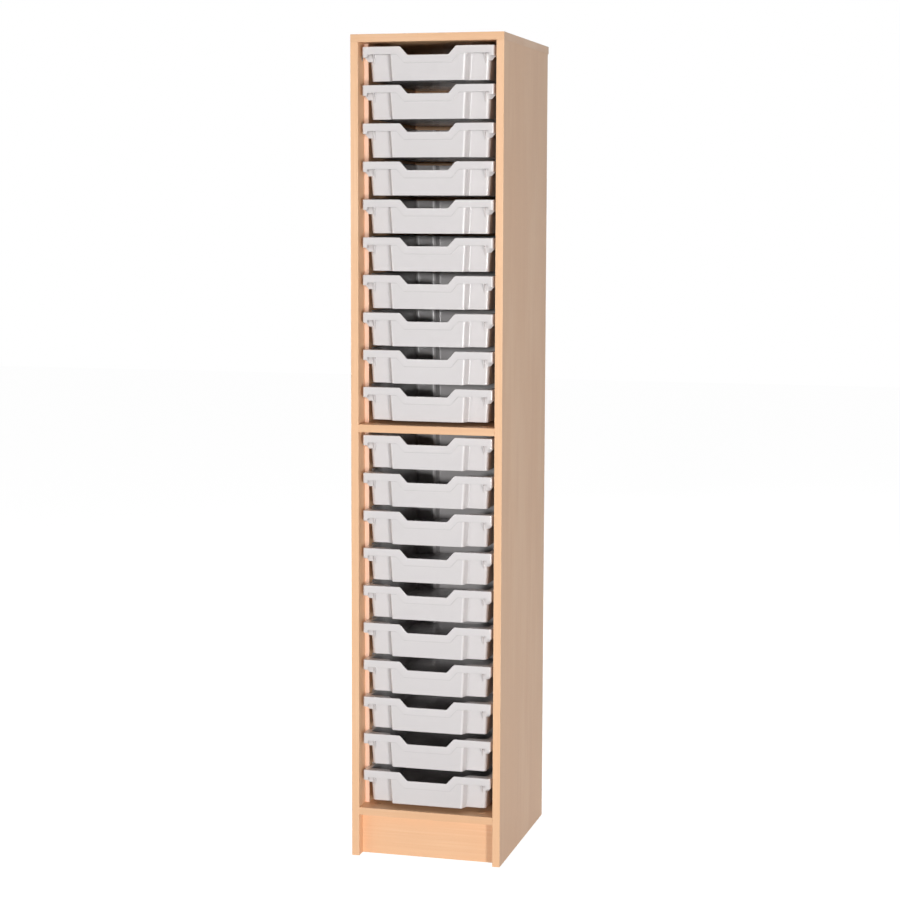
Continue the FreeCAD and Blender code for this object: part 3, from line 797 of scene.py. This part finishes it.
    def side_stations(self) -> list[Station]:
        """The side that lies in the runner.

        Returns:
            The stations from the lug to the tub's rear corner.
        """
        x = self.width / 2 - self.lug_step
        start = self.lug_length + 3.0
        end = self.depth - self.setback_top - self.step_depth - self.corner - 2.0
        lines = [start + (end - start) * i / 6 for i in range(7)]
        return [Station((self.half_top, y), (self.half_foot, y), (1.0, 0.0), (x, y), (-1.0, 0.0),
                        self.height, self.height - self.lip) for y in lines]

    def rear_stations(self) -> list[Station]:
        """The rear corner and the rear end.

        Returns:
            The stations from the corner to the middle.
        """
        walls, back = self.tub_walls(), self.depth
        side, r = self.width / 2 - self.lug_step, self.rim_corner
        heights = (self.height, self.height - self.lip)

        def place(wall: tuple[Plan, Plan, Plan], rim: Plan, inset: Plan, *more: object) -> Station:
            """A station of the rear end.

            Args:
                wall: Top, foot and outward direction of the wall of the front end.
                rim: The rim's edge.
                inset: The way inwards from the rim's edge.
                *more: What else the station has, in its order.

            Returns:
                The station, with that wall turned to the rear.
            """
            (x, y), (low_x, low_y), out = wall
            return Station((x, back - y), (low_x, back - low_y), (out[0], -out[1]), rim, inset,
                           *heights, *more)

        found = [place(wall, (x, y), ((side - r - x) / r, (back - r - y) / r)) for (x, y), wall in
                 zip(arc((side - r, back - r), r, 0, 90, CORNER_FACETS),
                     walls[:STEP_POINTS - 1:-1])]
        for turn, wall in enumerate(walls[STEP_POINTS - 1::-1]):
            # A painted highlight inside, on the arris of each rear step.
            worn = self.inner_painted_highlight if turn in FIRST_BEND else 0.0
            found.append(place(wall, (wall[0][0], back), (0.0, -1.0), None, self._meets(wall[0]),
                               0.0, worn))
        x = walls[0][0][0] / 2
        middle = ((x, self.setback_top), (x, self.setback_foot), (0.0, -1.0))
        return found + [place(middle, (x, back), (0.0, -1.0), None, True)]

    def stations(self) -> list[Station]:
        """The whole way round the tray.

        Returns:
            The stations from the front's middle, anticlockwise seen from above.
        """
        right = (self.front_stations() + self.lug_stations() + self.side_stations()
                 + self.rear_stations())
        return right + [station.mirrored() for station in reversed(right[1:])]

    def section(self, s: Station) -> list[Point]:
        """The tray's skin at one station, from the floor inside, over the rim, to the foot.

        Args:
            s: The place on the way round.

        Returns:
            As many points at every station, one for each line that runs round the tray.
        """

        def wall(z: float, inwards: float, x: Optional[float] = None) -> Point:
            """A point on the wall.

            Args:
                z: Its height.
                inwards: How far it lies behind the outer face.
                x: Its place across, where the wall's own isn't used.

            Returns:
                The point.
            """
            place = [a + (b - a) * (z / self.height) for a, b in zip(s.wall_foot, s.wall_top)]
            start = place[0] if x is None else x
            return (start - s.outward[0] * inwards, place[1] - s.outward[1] * inwards, z)

        def rim(inwards: float, z: float, x: Optional[float] = None) -> Point:
            """A point on the rim.

            Args:
                inwards: How far it lies behind the rim's edge.
                z: Its height.
                x: Its place across, where the rim's own isn't used.

            Returns:
                The point.
            """
            start = s.rim[0] if x is None else x
            return (start + s.inset[0] * inwards, s.rim[1] + s.inset[1] * inwards, z)

        t, e, f, w = s.top, self.edge_round, self.foot_round, self.wall
        low, x = s.skirt, s.skirt_x
        bend = wall(self.floor, w + 0.6)
        inner = [wall(self.floor, w + self.floor_fillet), (bend[0], bend[1], self.floor + 0.6),
                 wall(self.floor + self.floor_fillet, w),
                 *(wall(t - drop, w - out) for drop, out in self.brim)]
        over = [rim(e, t), rim(e * EASE, t - e * EASE), rim(0.0, t - e)]
        under = [rim(inwards, low + rise, x) for rise, inwards in self.hem]
        shelf = self.height - self.rim
        if s.hugs:
            # The turned-down edge lies on the wall here, so its inner side is the wall itself.
            edge = [wall(low, -0.01, x)] * 3
        else:
            edge = [rim(self.band_thick, low, x), rim(self.band_thick, shelf), wall(shelf, 0.0)]
        foot = [wall((low if s.hugs else shelf) - 2.0, 0.0, x), wall(f, 0.0),
                wall(f * EASE, f * EASE), wall(0.0, f)]
        return inner + over + under + edge + foot

    def moulding(self) -> bpy.types.Mesh:
        """Moulds the whole tray.

        Returns:
            One mesh in metres, with its foot at Z = 0 and its front at Y = 0.
        """
        shell = Shell("tray_moulding")
        # The "corner" attribute carries painted shade (above 0) and painted highlights (below 0)
        # into the tray's plastic.
        corner = shell.bm.verts.layers.float.new("corner")
        stations = self.stations()
        loops = [shell.points(line) for line in zip(*(self.section(s) for s in stations))]
        for k, (loop, painted_light) in enumerate(zip(loops, self.painted_light)):
            for vert, station in zip(loop, stations):
                own = (station.inside if k in self.inner_lines else
                       station.crease if k in self.outer_lines else 0.0)
                vert[corner] = own or painted_light
        shell.skin(*loops)
        shell.cap(loops[0])
        shell.cap(loops[-1][::-1])
        self._add_webs(shell)
        bmesh.ops.remove_doubles(shell.bm, verts=shell.bm.verts, dist=0.00002)
        bmesh.ops.dissolve_degenerate(shell.bm, dist=0.00001, edges=shell.bm.edges)
        return shell.mesh()

    def _add_webs(self, shell: Shell) -> None:
        """Adds the shoulder webs beside the tub, a wall behind each lug, and the stiffening ribs.

        Args:
            shell: The tray's mesh, to which they are added.
        """
        front = self.setback_top + self.step_depth
        under, hem = self.height - self.rim, self.height - self.band
        foot, half = self.height - self.rib_drop, self.rib_thick / 2
        end, near = self.lug_length, self.width / 2 - 1.2
        rib = [(1.0, under + 1.0), (front + 1.0, under + 1.0), (front + 1.0, foot),
               (front - 0.4, foot + 1.4), (1.0, under - 1.0)]
        stop = [(self.lug_from, hem), (near, hem), (near, under + 1.0),
                (self.lug_from, under + 1.0)]
        for s in (side.value for side in Side):
            shell.prism([(s * x, z) for x, z in self.shoulder], front, front + self.wall,
                        Grain.DEEP, 0.35)
            shell.prism(rib, s * self.rib_x - half, s * self.rib_x + half, Grain.ACROSS, 0.3)
            shell.prism([(s * x, z) for x, z in stop], end - self.wall, end - 0.05, Grain.DEEP, 0.3)


@dataclass
class TraySet:
    """All twenty trays in their places."""

    plastic: MouldedPlastic
    pattern: Tray = field(default_factory=Tray)
    count: int = 20

    def build(self) -> None:
        """Makes each tray a piece of its own that rides on its own body."""
        moulding = self.pattern.moulding()
        material = self.plastic.make()
        for number in range(1, self.count + 1):
            name = f"tray_{number:02d}"
            low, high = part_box(name)
            mesh = moulding.copy()
            mesh.transform(Matrix.Translation(((low.x + high.x) / 2, low.y, low.z)))
            piece = as_piece(name + "_moulding", mesh, material, 32.0)
            fitted(name, piece, name)
        bpy.data.meshes.remove(moulding)


# ---- what repeats
@dataclass
class Repeat:
    """Geometry Nodes that set one pattern at many points and end in one plain mesh.

    The pattern is a mesh at its own origin, in metres, and the material is what it is made of.
    """

    name: str
    pattern: bpy.types.Mesh
    material: bpy.types.Material

    def __post_init__(self) -> None:
        """Starts the tree."""
        self.sheet = NodeSheet(bpy.data.node_groups.new(self.name, "GeometryNodeTree"))
        self.values: dict[str, object] = {}
        for way in ("INPUT", "OUTPUT"):
            self.sheet.tree.interface.new_socket(name="Geometry", in_out=way,
                                                 socket_type="NodeSocketGeometry")

    def given(self, name: str, kind: str, value: object) -> Signal:
        """A new named input of the tree.

        Args:
            name: The input's name.
            kind: Its socket type without "NodeSocket".
            value: What it gets.

        Returns:
            The input, for the tree's nodes to read.
        """
        socket = self.sheet.tree.interface.new_socket(name=name, in_out="INPUT",
                                                      socket_type="NodeSocket" + kind)
        self.values[socket.identifier] = value
        return self.sheet.add("NodeGroupInput", output=name)

    def run(self, start: bpy.types.Mesh, points: Signal, **turned: Signal) -> bpy.types.Mesh:
        """Ends the tree, and runs it.

        Args:
            start: The tree's start geometry.
            points: Where the pattern goes.
            turned: Its Rotation at each point, where it has one.

        Returns:
            One plain mesh, with no modifier left behind.
        """
        holder = linked(self.name + "_pattern", self.pattern)
        pattern = self.sheet.add("GeometryNodeObjectInfo", {"transform_space": "ORIGINAL"},
                                 {"Object": self.given("Pattern", "Object", holder)}, "Geometry")
        placed = self.sheet.add("GeometryNodeInstanceOnPoints", None,
                                {"Points": points, "Instance": pattern, **turned})
        solid = self.sheet.add("GeometryNodeRealizeInstances", None, {"Geometry": placed})
        dressed = self.sheet.add("GeometryNodeSetMaterial", None, {
            "Geometry": solid, "Material": self.given("Finish", "Material", self.material)})
        self.sheet.add("NodeGroupOutput", None, {"Geometry": dressed})

        host = linked(self.name, start)
        modifier = host.modifiers.new(self.name, "NODES")
        modifier.node_group = self.sheet.tree
        for key, value in self.values.items():
            modifier[key] = value
        bpy.context.view_layer.update()
        graph = bpy.context.evaluated_depsgraph_get()
        mesh = bpy.data.meshes.new_from_object(host.evaluated_get(graph))
        host.modifiers.remove(modifier)
        bpy.data.objects.remove(host)
        bpy.data.objects.remove(holder)
        return mesh


@dataclass
class RailStack(Repeat):
    """One column of runners, at an even pitch."""

    def build(self, first: float, pitch: float, count: int) -> bpy.types.Mesh:
        """Stacks the rail.

        Args:
            first: Height of the lowest rail, in millimetres.
            pitch: Rise from one rail to the next, in millimetres.
            count: How many rails there are.

        Returns:
            One mesh with all the rails.
        """
        rise = self.sheet.add("ShaderNodeCombineXYZ", None,
                              {"Z": self.given("Pitch", "Float", pitch * MM)})
        line = self.sheet.add("GeometryNodeMeshLine", {"mode": "OFFSET", "count_mode": "TOTAL"}, {
            "Count": self.given("Rails", "Int", count),
            "Start Location": self.given("First", "Vector", (0.0, 0.0, first * MM)),
            "Offset": rise})
        return self.run(bpy.data.meshes.new(self.name), line)


@dataclass
class FixingField(Repeat):
    """One kind of fixing, head at the origin and facing +Z, set at many spots of the carcass."""

    seed: int = 7

    def build(self, spots: Sequence[Spot], turn: float) -> bpy.types.Mesh:
        """Places a fixing at every spot, each turned about its own axis by chance.

        Args:
            spots: Place of each head in millimetres, and the way that it faces.
            turn: The largest turn about its axis, in radians.

        Returns:
            One mesh with all the fixings.
        """
        add = self.sheet.add
        faces = add("GeometryNodeInputNamedAttribute", {"data_type": "FLOAT_VECTOR"},
                    {"Name": "facing"})
        aim = add("FunctionNodeAlignRotationToVector", {"axis": "Z"}, {"Vector": faces})
        chance = add("FunctionNodeRandomValue", {"data_type": "FLOAT"}, {
            "Min": 0.0, "Max": self.given("Largest Turn", "Float", turn),
            "Seed": self.given("Seed", "Int", self.seed)})
        spin = add("FunctionNodeAxisAngleToRotation", None,
                   {"Axis": (0.0, 0.0, 1.0), "Angle": chance})
        turned = add("FunctionNodeRotateRotation", {"rotation_space": "LOCAL"},
                     {"Rotation": aim, "Rotate By": spin})
        start = bpy.data.meshes.new(self.name)
        start.from_pydata([tuple(v * MM for v in place) for place, _ in spots], [], [])
        facing = start.attributes.new("facing", "FLOAT_VECTOR", "POINT")
        for item, (_, way) in zip(facing.data, spots):
            item.vector = way
        return self.run(start, add("NodeGroupInput", output="Geometry"), Rotation=turned)


# ---- runners
@dataclass
class Runners:
    """The forty plastic channels that carry the trays, ten on each side of each bay."""

    plastic: MouldedPlastic
    face: float = 153.0
    web: float = 1.4
    ledge: float = 2.0
    hood: float = 1.5
    reach: float = 6.0
    gap: float = 10.0
    front: float = -156.0
    rear: float = 208.0
    ledge_top: float = 68.2
    peg_radius: float = 2.5
    peg_length: float = 7.0
    pegs: int = 3
    peg_inset: float = 30.0
    peg_facets: int = 12
    rails: int = 10

    def rail(self, side: Side) -> bpy.types.Mesh:
        """One channel with its pegs, with the tray's foot level at Z = 0.

        Args:
            side: Which side of the unit it is for.

        Returns:
            The mesh, in metres.
        """
        s, shell, top = side.value, Shell("rail"), self.ledge_top
        low, high = top - self.ledge, top + self.gap + self.hood
        face, inner, tip = self.face, self.face - self.web, self.face - self.reach
        outline = [(face, low), (tip + 1.0, low), (tip + 0.2, low + 0.6), (tip, low + 1.3),
                   (tip + 0.5, top), (inner - 0.5, top), (inner, top + 0.5),
                   (inner, high - self.hood - 0.5), (inner - 0.5, high - self.hood),
                   (tip + 0.5, high - self.hood), (tip, high - 0.9), (tip + 0.3, high - 0.3),
                   (tip + 1.0, high), (face, high)]
        shell.prism([(s * x, z) for x, z in outline], self.front, self.rear, Grain.DEEP, 0.25)
        span = self.rear - self.front - 2 * self.peg_inset
        ends = sorted((s * (face - self.web / 2), s * (face + self.peg_length)))
        for i in range(self.pegs):
            y = self.front + self.peg_inset + i * span / (self.pegs - 1)
            ring = circle((y, top + self.gap / 2), self.peg_radius, self.peg_facets)
            shell.prism(ring, *ends, Grain.ACROSS)
        return shell.mesh()

    def build(self) -> None:
        """Makes the four columns of runners."""
        material = self.plastic.make()
        for bay, lowest in (("lower", 2 * self.rails), ("upper", self.rails)):
            feet = [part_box(f"tray_{lowest - i:02d}")[0].z / MM for i in range(self.rails)]
            pitch = (feet[-1] - feet[0]) / (self.rails - 1)
            for side in Side:
                node = f"{side.name.lower()}_{bay}_runners"
                stack = RailStack(node + "_stack", self.rail(side), material)
                mesh = stack.build(feet[0], pitch, self.rails)
                piece = as_piece(node + "_channels", mesh, material)
                fitted("carcass", piece, node)


# ---- fixings
@dataclass
class CountersunkScrew:
    """Chipboard screw with a flat head and a cross recess."""

    head_radius: float = 3.6
    head_height: float = 2.6
    radius: float = 1.7
    thread: float = 0.25
    thread_pitch: float = 1.8
    arm: float = 2.0
    arm_width: float = 0.8
    recess: float = 1.6
    taper: float = 0.7
    point: float = 5.0
    tip: float = 0.4
    facets: int = 24

    def mesh(self, length: float) -> bpy.types.Mesh:
        """The screw with its head's face at Z = 0 and its point down.

        Args:
            length: Overall length.

        Returns:
            The mesh, in metres.
        """
        shell, a, w = Shell("screw"), self.arm, self.arm_width / 2

        def ring(radius: float, z: float) -> Loop:
            """A round section of the screw."""
            return shell.points([(*p, z) for p in circle((0, 0), radius, self.facets)])

        cross = [(a, -w), (a, w), (w, w), (w, a), (-w, a), (-w, w), (-a, w), (-a, -w), (-w, -w),
                 (-w, -a), (w, -a), (w, -w)]
        last = ring(self.head_radius, 0.0)
        lip = shell.points([(x, y, 0.0) for x, y in cross])
        sunk = shell.points([(x * self.taper, y * self.taper, -self.recess) for x, y in cross])
        shell.skin(lip, sunk)
        shell.cap(sunk)
        self._ring_face(shell, last, lip)
        levels = [(self.head_radius, -0.25), (self.radius, -self.head_height)]
        z = -self.head_height - 0.6
        threaded = length - self.head_height - self.point
        turns = max(2, int(threaded / self.thread_pitch))
        for i in range(2 * turns):
            levels.append((self.radius - self.thread * (i % 2), z))
            z -= (threaded - 0.6) / (2 * turns)
        levels += [(self.radius - self.thread, -length + self.point), (self.tip, -length)]
        for radius, level in levels:
            following = ring(radius, level)
            shell.skin(following, last)
            last = following
        shell.cap(last[::-1])
        shell.face_outwards()
        return shell.mesh()

    @staticmethod
    def _ring_face(shell: Shell, outer: Loop, inner: Loop) -> None:
        """Adds the flat faces between the head's edge and the recess.

        Args:
            shell: The screw's mesh.
            outer: The head's edge.
            inner: The recess's edge.
        """
        count, per = len(outer), len(outer) // len(inner)
        for i, here in enumerate(inner):
            start = i * per - per // 2
            around = [outer[(start + k) % count] for k in range(per + 1)]
            for first, second in zip(around, around[1:]):
                shell.cap((here, first, second))
            shell.cap((here, around[-1], inner[(i + 1) % len(inner)]))


@dataclass
class CoverCap:
    """Snap-in cover cap: a low dome with a soft edge and a short spigot."""

    radius: float = 9.0
    height: float = 1.0
    spigot: float = 7.4
    depth: float = 1.0
    facets: int = 40

    def mesh(self) -> bpy.types.Mesh:
        """Makes the cap.

        Returns:
            The mesh in metres, with its underside at Z = 0 and its dome up.
        """
        shell, r = Shell("cap"), self.radius
        levels = [(self.spigot - 0.4, -self.depth), (self.spigot, -self.depth + 0.3),
                  (self.spigot, 0.0), (r - 0.1, 0.0), (r, 0.12), (r - 0.12, 0.45),
                  (r - 0.6, 0.72), (r - 2.2, 0.9), (r * 0.4, self.height)]
        rings = [shell.points([(*p, z) for p in circle((0, 0), radius, self.facets)])
                 for radius, z in levels]
        shell.skin(*rings)
        shell.cap(rings[0][::-1])
        shell.cap(rings[-1])
        shell.face_outwards()
        return shell.mesh()


def solid_boxes(node: str) -> list[tuple[Vector, Vector]]:
    """Measures each separate solid of a CAD node.

    Args:
        node: The node's name.

    Returns:
        The solids' lowest and highest corners, in millimetres.
    """
    bm = bmesh.new()
    bm.from_mesh(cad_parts[node].data)
    bmesh.ops.remove_doubles(bm, verts=bm.verts, dist=0.000005)
    boxes, seen = [], set()
    for vert in bm.verts:
        if vert in seen:
            continue
        island, queue = [], [vert]
        seen.add(vert)
        while queue:
            here = queue.pop()
            island.append(here.co.copy())
            fresh = {edge.other_vert(here) for edge in here.link_edges} - seen
            seen |= fresh
            queue += fresh
        boxes.append(tuple(Vector(pick(p[k] for p in island) for k in range(3)) / MM
                           for pick in (min, max)))
    bm.free()
    return boxes


@dataclass
class Fixings:
    """Screws and cover caps, each kind in its own place on the carcass."""

    steel: Metal
    cover: MouldedPlastic
    screw: CountersunkScrew = field(default_factory=CountersunkScrew)
    cap: CoverCap = field(default_factory=CoverCap)

    def _spots(self, node: str) -> tuple[list[Spot], float]:
        """Head place and facing of every screw of a node, and their length.

        Args:
            node: The CAD node of the screws.

        Returns:
            The spots, and the screws' length. Screws along the depth, and those of the left
            runner boards, have their heads at their high end.
        """
        spots, length = [], 0.0
        for low, high in solid_boxes(node):
            size = high - low
            axis = max(range(3), key=lambda k: size[k])
            length = size[axis]
            outer = low.x + high.x < 0 if node == "runner_board_screws" else (
                node == "back_panel_screws" or axis == 1)
            facing = [0.0, 0.0, 0.0]
            facing[axis] = 1.0 if outer else -1.0
            place = list((low + high) / 2)
            place[axis] = high[axis] if outer else low[axis]
            spots.append((tuple(place), tuple(facing)))
        return spots, length

    def build(self) -> None:
        """Makes every screw and cap."""
        steel, cover = self.steel.make(), self.cover.make()
        for node in ("back_panel_screws", "runner_board_screws", "corner_block_screws"):
            spots, length = self._spots(node)
            screws = FixingField(node + "_field", self.screw.mesh(length), steel)
            mesh = screws.build(spots, math.pi / 2)
            fitted("carcass", as_piece(node + "_set", mesh, steel, 30.0), node)
        spots = []
        for low, high in solid_boxes("cam_caps"):
            middle = (low + high) / 2
            spots.append(((middle.x, middle.y, high.z - self.cap.height), (0.0, 0.0, 1.0)))
        mesh = FixingField("cam_caps_field", self.cap.mesh(), cover).build(spots, 0.0)
        fitted("carcass", as_piece("cam_caps_set", mesh, cover), "cam_caps")


# ---- carcass
@dataclass
class Carcass:
    """Boards and lippings of the unit."""

    across: Sequence[str] = ("top_panel", "mid_shelf", "base_shelf", "plinth")
    upright: Sequence[str] = (
        "left_side_panel", "right_side_panel", "back_panel", "left_lower_runner_board",
        "right_lower_runner_board", "left_upper_runner_board", "right_upper_runner_board")
    lippings: Sequence[tuple[str, Grain, int]] = (
        ("left_side_edging", Grain.UPRIGHT, 0), ("right_side_edging", Grain.UPRIGHT, 0),
        ("mid_shelf_edging", Grain.ACROSS, 6), ("base_shelf_edging", Grain.ACROSS, 6))
    top_tone: int = 8
    arris: float = 0.9
    liner_arris: float = 0.3
    thick: float = 2.0

    def build(self) -> None:
        """Dresses the boards and makes the lippings."""
        for number, node in enumerate((*self.across, *self.upright)):
            grain = Grain.ACROSS if node in self.across else Grain.UPRIGHT
            contrast = 0.4 if node == "plinth" else 0.6
            dress(node, Beech(node + "_beech", grain, shift=1.37 * number, contrast=contrast))
        for number, (node, grain, tone) in enumerate(self.lippings):
            self._straight_lipping(node, grain, 20.0 + 2.11 * number, tone)
        self._top_lipping()
        self._liner_lippings()

    def _finish_lipping(self, shell: Shell, node: str, grain: Grain, shift: float,
                        tone: int) -> None:
        """Makes a lipping of beech a little paler and plainer than the boards, and fits it.

        Args:
            shell: The lipping's mesh.
            node: The CAD node that it stands for.
            grain: The way that its grain runs.
            shift: Where in the pattern it lies.
            tone: How much darker it is, in steps of sRGB.
        """
        base, dark, pale = (tuple(step - tone for step in colour) for colour in (
            (245, 199, 158), (238, 188, 145), (250, 210, 174)))
        beech = Beech(node + "_beech", grain, base, dark, pale, shift, 0.45, 0.36)
        fitted("carcass", shell.finish(beech.make()), node)

    def _straight_lipping(self, node: str, grain: Grain, shift: float, tone: int) -> None:
        """Makes a straight lipping with rounded front edges.

        Args:
            node: The CAD node that it stands for.
            grain: The way that its grain and its length run.
            shift: Where in the pattern it lies.
            tone: How much darker it is, in steps of sRGB.
        """
        low, high = (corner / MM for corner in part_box(node))
        shell, r = Shell(node + "_strip"), self.arris
        along, across = (2, 0) if grain is Grain.UPRIGHT else (0, 2)
        outline = [(low[across], high.y), *arc((low[across] + r, low.y + r), r, 180, 270, 4),
                   *arc((high[across] - r, low.y + r), r, 270, 360, 4), (high[across], high.y)]
        if grain is Grain.ACROSS:
            outline = [(y, z) for z, y in outline]
        shell.prism(outline, low[along], high[along], grain)
        self._finish_lipping(shell, node, grain, shift, tone)

    def _top_lipping(self) -> None:
        """Lipping round the top panel, with mitred corners and rounded edges."""
        low, high = (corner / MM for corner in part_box("top_edging"))
        shell, t, r = Shell("top_edging_strips"), self.thick, self.arris
        corners = [(low.x, low.y, 1.0, 1.0), (high.x, low.y, -1.0, 1.0),
                   (high.x, high.y, -1.0, -1.0), (low.x, high.y, 1.0, -1.0)]
        section = [(t, low.z), (r, low.z), (r * EASE, low.z + r * EASE), (0.0, low.z + r),
                   (0.0, high.z - r), (r * EASE, high.z - r * EASE), (r, high.z), (t, high.z)]
        loops = []
        for inwards, z in section:
            ring = []
            cut = max(0.6 - inwards, 0.05)
            for x, y, a, b in corners:
                pair = [(x + a * (inwards + cut), y + b * inwards, z),
                        (x + a * inwards, y + b * (inwards + cut), z)]
                ring += pair[::-1] if a * b > 0 else pair
            loops.append(shell.points(ring))
        shell.skin(*loops, loops[0])
        shell.face_outwards()
        self._finish_lipping(shell, "top_edging", Grain.ACROSS, 31.0, self.top_tone)

    def _liner_lippings(self) -> None:
        """Thin lippings on the front edges of the four runner boards."""
        node, r = "runner_board_edgings", self.liner_arris
        shell = Shell(node + "_strips")
        for low, high in solid_boxes(node):
            outline = [(low.x, high.y), (low.x, low.y + r), (low.x + r, low.y),
                       (high.x - r, low.y), (high.x, low.y + r), (high.x, high.y)]
            shell.prism(outline, low.z, high.z, Grain.UPRIGHT)
        pale = Beech(node + "_beech", Grain.UPRIGHT, (250, 214, 190), (245, 204, 177),
                     (252, 222, 201), 37.0, 0.35, 0.36)
        fitted("carcass", shell.finish(pale.make(), 50.0), node)


def dress(node: str, finish: Union[Beech, MouldedPlastic, Metal]) -> None:
    """Gives a CAD node a better material.

    Args:
        node: The node's name.
        finish: What it is made of.
    """
    material = finish.make()
    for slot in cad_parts[node].material_slots:
        slot.material = material
    LOG.info("%s: CAD solid with %s", node, material.name)


def dress_hidden_parts() -> None:
    """Materials of the joints and blocks that stay as CAD solids."""
    dress("cam_discs", Metal("zinc_casting", (176, 178, 182), (130, 131, 134), 0.42, 700.0))
    dress("cam_bolts", Metal("bolt_steel", (190, 190, 192), (140, 138, 134), 0.28, 1200.0))
    dress("plinth_corner_blocks", MouldedPlastic(
        "block_plastic", (232, 230, 224), (214, 211, 203), 0.4, seed=5.0))
    dress("dowels", Beech("dowel_beech", Grain.ACROSS, (215, 170, 128), (190, 140, 96),
                          (228, 190, 150), 50.0, 1.2, 0.62))


# ---- studio
@dataclass
class Studio:
    """Floor, light and camera. The lamps have a place, a width and height, and watts."""

    eye: Point = (1310.1, -4880.3, 1525.1)
    yaw: float = 0.263069
    pitch: float = 0.112791
    roll: float = 0.002966
    lens: float = 84.13
    sensor: float = 36.0
    clip_metres: Plan = (0.1, 60.0)
    lit_point: Point = (0.0, -221.0, 950.0)
    lamps: Sequence[tuple[str, Point, Plan, float]] = (
        ("front_panel", (700.0, -9000.0, 1865.0), (450.0, 350.0), 276.0),
        ("right_panel", (3090.0, -4160.0, 500.0), (500.0, 950.0), 110.0),
        ("left_fill", (-3300.0, -4100.0, 770.0), (1500.0, 1500.0), 33.0),
        ("rear_panel", (-3600.0, 3900.0, 1300.0), (1500.0, 1500.0), 130.0),
        ("overhead_panel", (-300.0, 1700.0, 4500.0), (1000.0, 1000.0), 44.0))
    fill: float = 0.12
    floor_metres: float = 28.0

    def build(self) -> None:
        """Makes the floor, the lamps, the world and the camera."""
        self._camera()
        self._floor()
        self._world()
        self._lamps()
        bpy.context.scene.view_settings.view_transform = "Standard"

    def _camera(self) -> None:
        """A camera in front of the unit and to its right."""
        level = math.cos(self.pitch)
        ahead = Vector((-math.sin(self.yaw) * level, math.cos(self.yaw) * level,
                        -math.sin(self.pitch)))
        right = Vector((math.cos(self.yaw), math.sin(self.yaw), 0.0))
        up = right.cross(ahead)
        across = right * math.cos(self.roll) + up * math.sin(self.roll)
        above = up * math.cos(self.roll) - right * math.sin(self.roll)
        data = bpy.data.cameras.new("camera")
        data.sensor_width, data.lens = self.sensor, self.lens
        data.clip_start, data.clip_end = self.clip_metres
        camera = linked("camera", data)
        turn = Matrix((across, above, -ahead)).transposed().to_4x4()
        camera.matrix_world = Matrix.Translation(Vector(self.eye) * MM) @ turn
        bpy.context.scene.camera = camera

    def _floor(self) -> None:
        """A wide pale floor."""
        h = self.floor_metres / 2
        mesh = bpy.data.meshes.new("studio_floor")
        mesh.from_pydata([(-h, -h, 0), (h, -h, 0), (h, h, 0), (-h, h, 0)], [], [(0, 1, 2, 3)])
        as_piece("studio_floor", mesh, StudioWhite("studio_floor_white").make())

    def _world(self) -> None:
        """Even light from all round, and white where it is looked at."""
        world = bpy.data.worlds.new("studio")
        sheet = cleared_sheet(world)
        light, white = (sheet.add("ShaderNodeBackground", None, {"Color": WHITE, "Strength": level})
                        for level in (self.fill, 1.0))
        mixed = sheet.add("ShaderNodeMixShader", None, {0: looked_at(sheet), 1: light, 2: white})
        sheet.add("ShaderNodeOutputWorld", None, {"Surface": mixed})
        bpy.context.scene.world = world

    def _lamps(self) -> None:
        """Soft rectangular lamps that face the lit point."""
        for name, place, size, power in self.lamps:
            data = bpy.data.lights.new(name, "AREA")
            data.shape, data.energy = "RECTANGLE", power
            data.size, data.size_y = (side * MM for side in size)
            lamp = linked(name, data)
            way = (Vector(self.lit_point) - Vector(place)).to_track_quat("-Z", "Y").to_matrix()
            lamp.matrix_world = Matrix.Translation(Vector(place) * MM) @ way.to_4x4()
            lamp.visible_camera = False


# ---- the whole unit
def main() -> None:
    """Builds the unit piece by piece."""
    logging.basicConfig(level=logging.INFO, format="%(message)s")
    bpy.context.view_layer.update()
    Studio().build()
    Carcass().build()
    dress_hidden_parts()
    Runners(MouldedPlastic("runner_plastic", (150, 150, 153), (132, 132, 135), 0.38,
                           seed=3.0)).build()
    Fixings(Metal("screw_steel", (196, 194, 188), (150, 145, 130), 0.26, 1500.0),
            MouldedPlastic("cap_plastic", (222, 176, 138), (205, 158, 120), 0.3, seed=8.0)).build()
    TraySet(MouldedPlastic("tray_plastic", (217, 213, 213), (207, 203, 204), 0.26, painted_shading=0.22,
                           polish=0.35)).build()


if __name__ == "__main__":
    main()
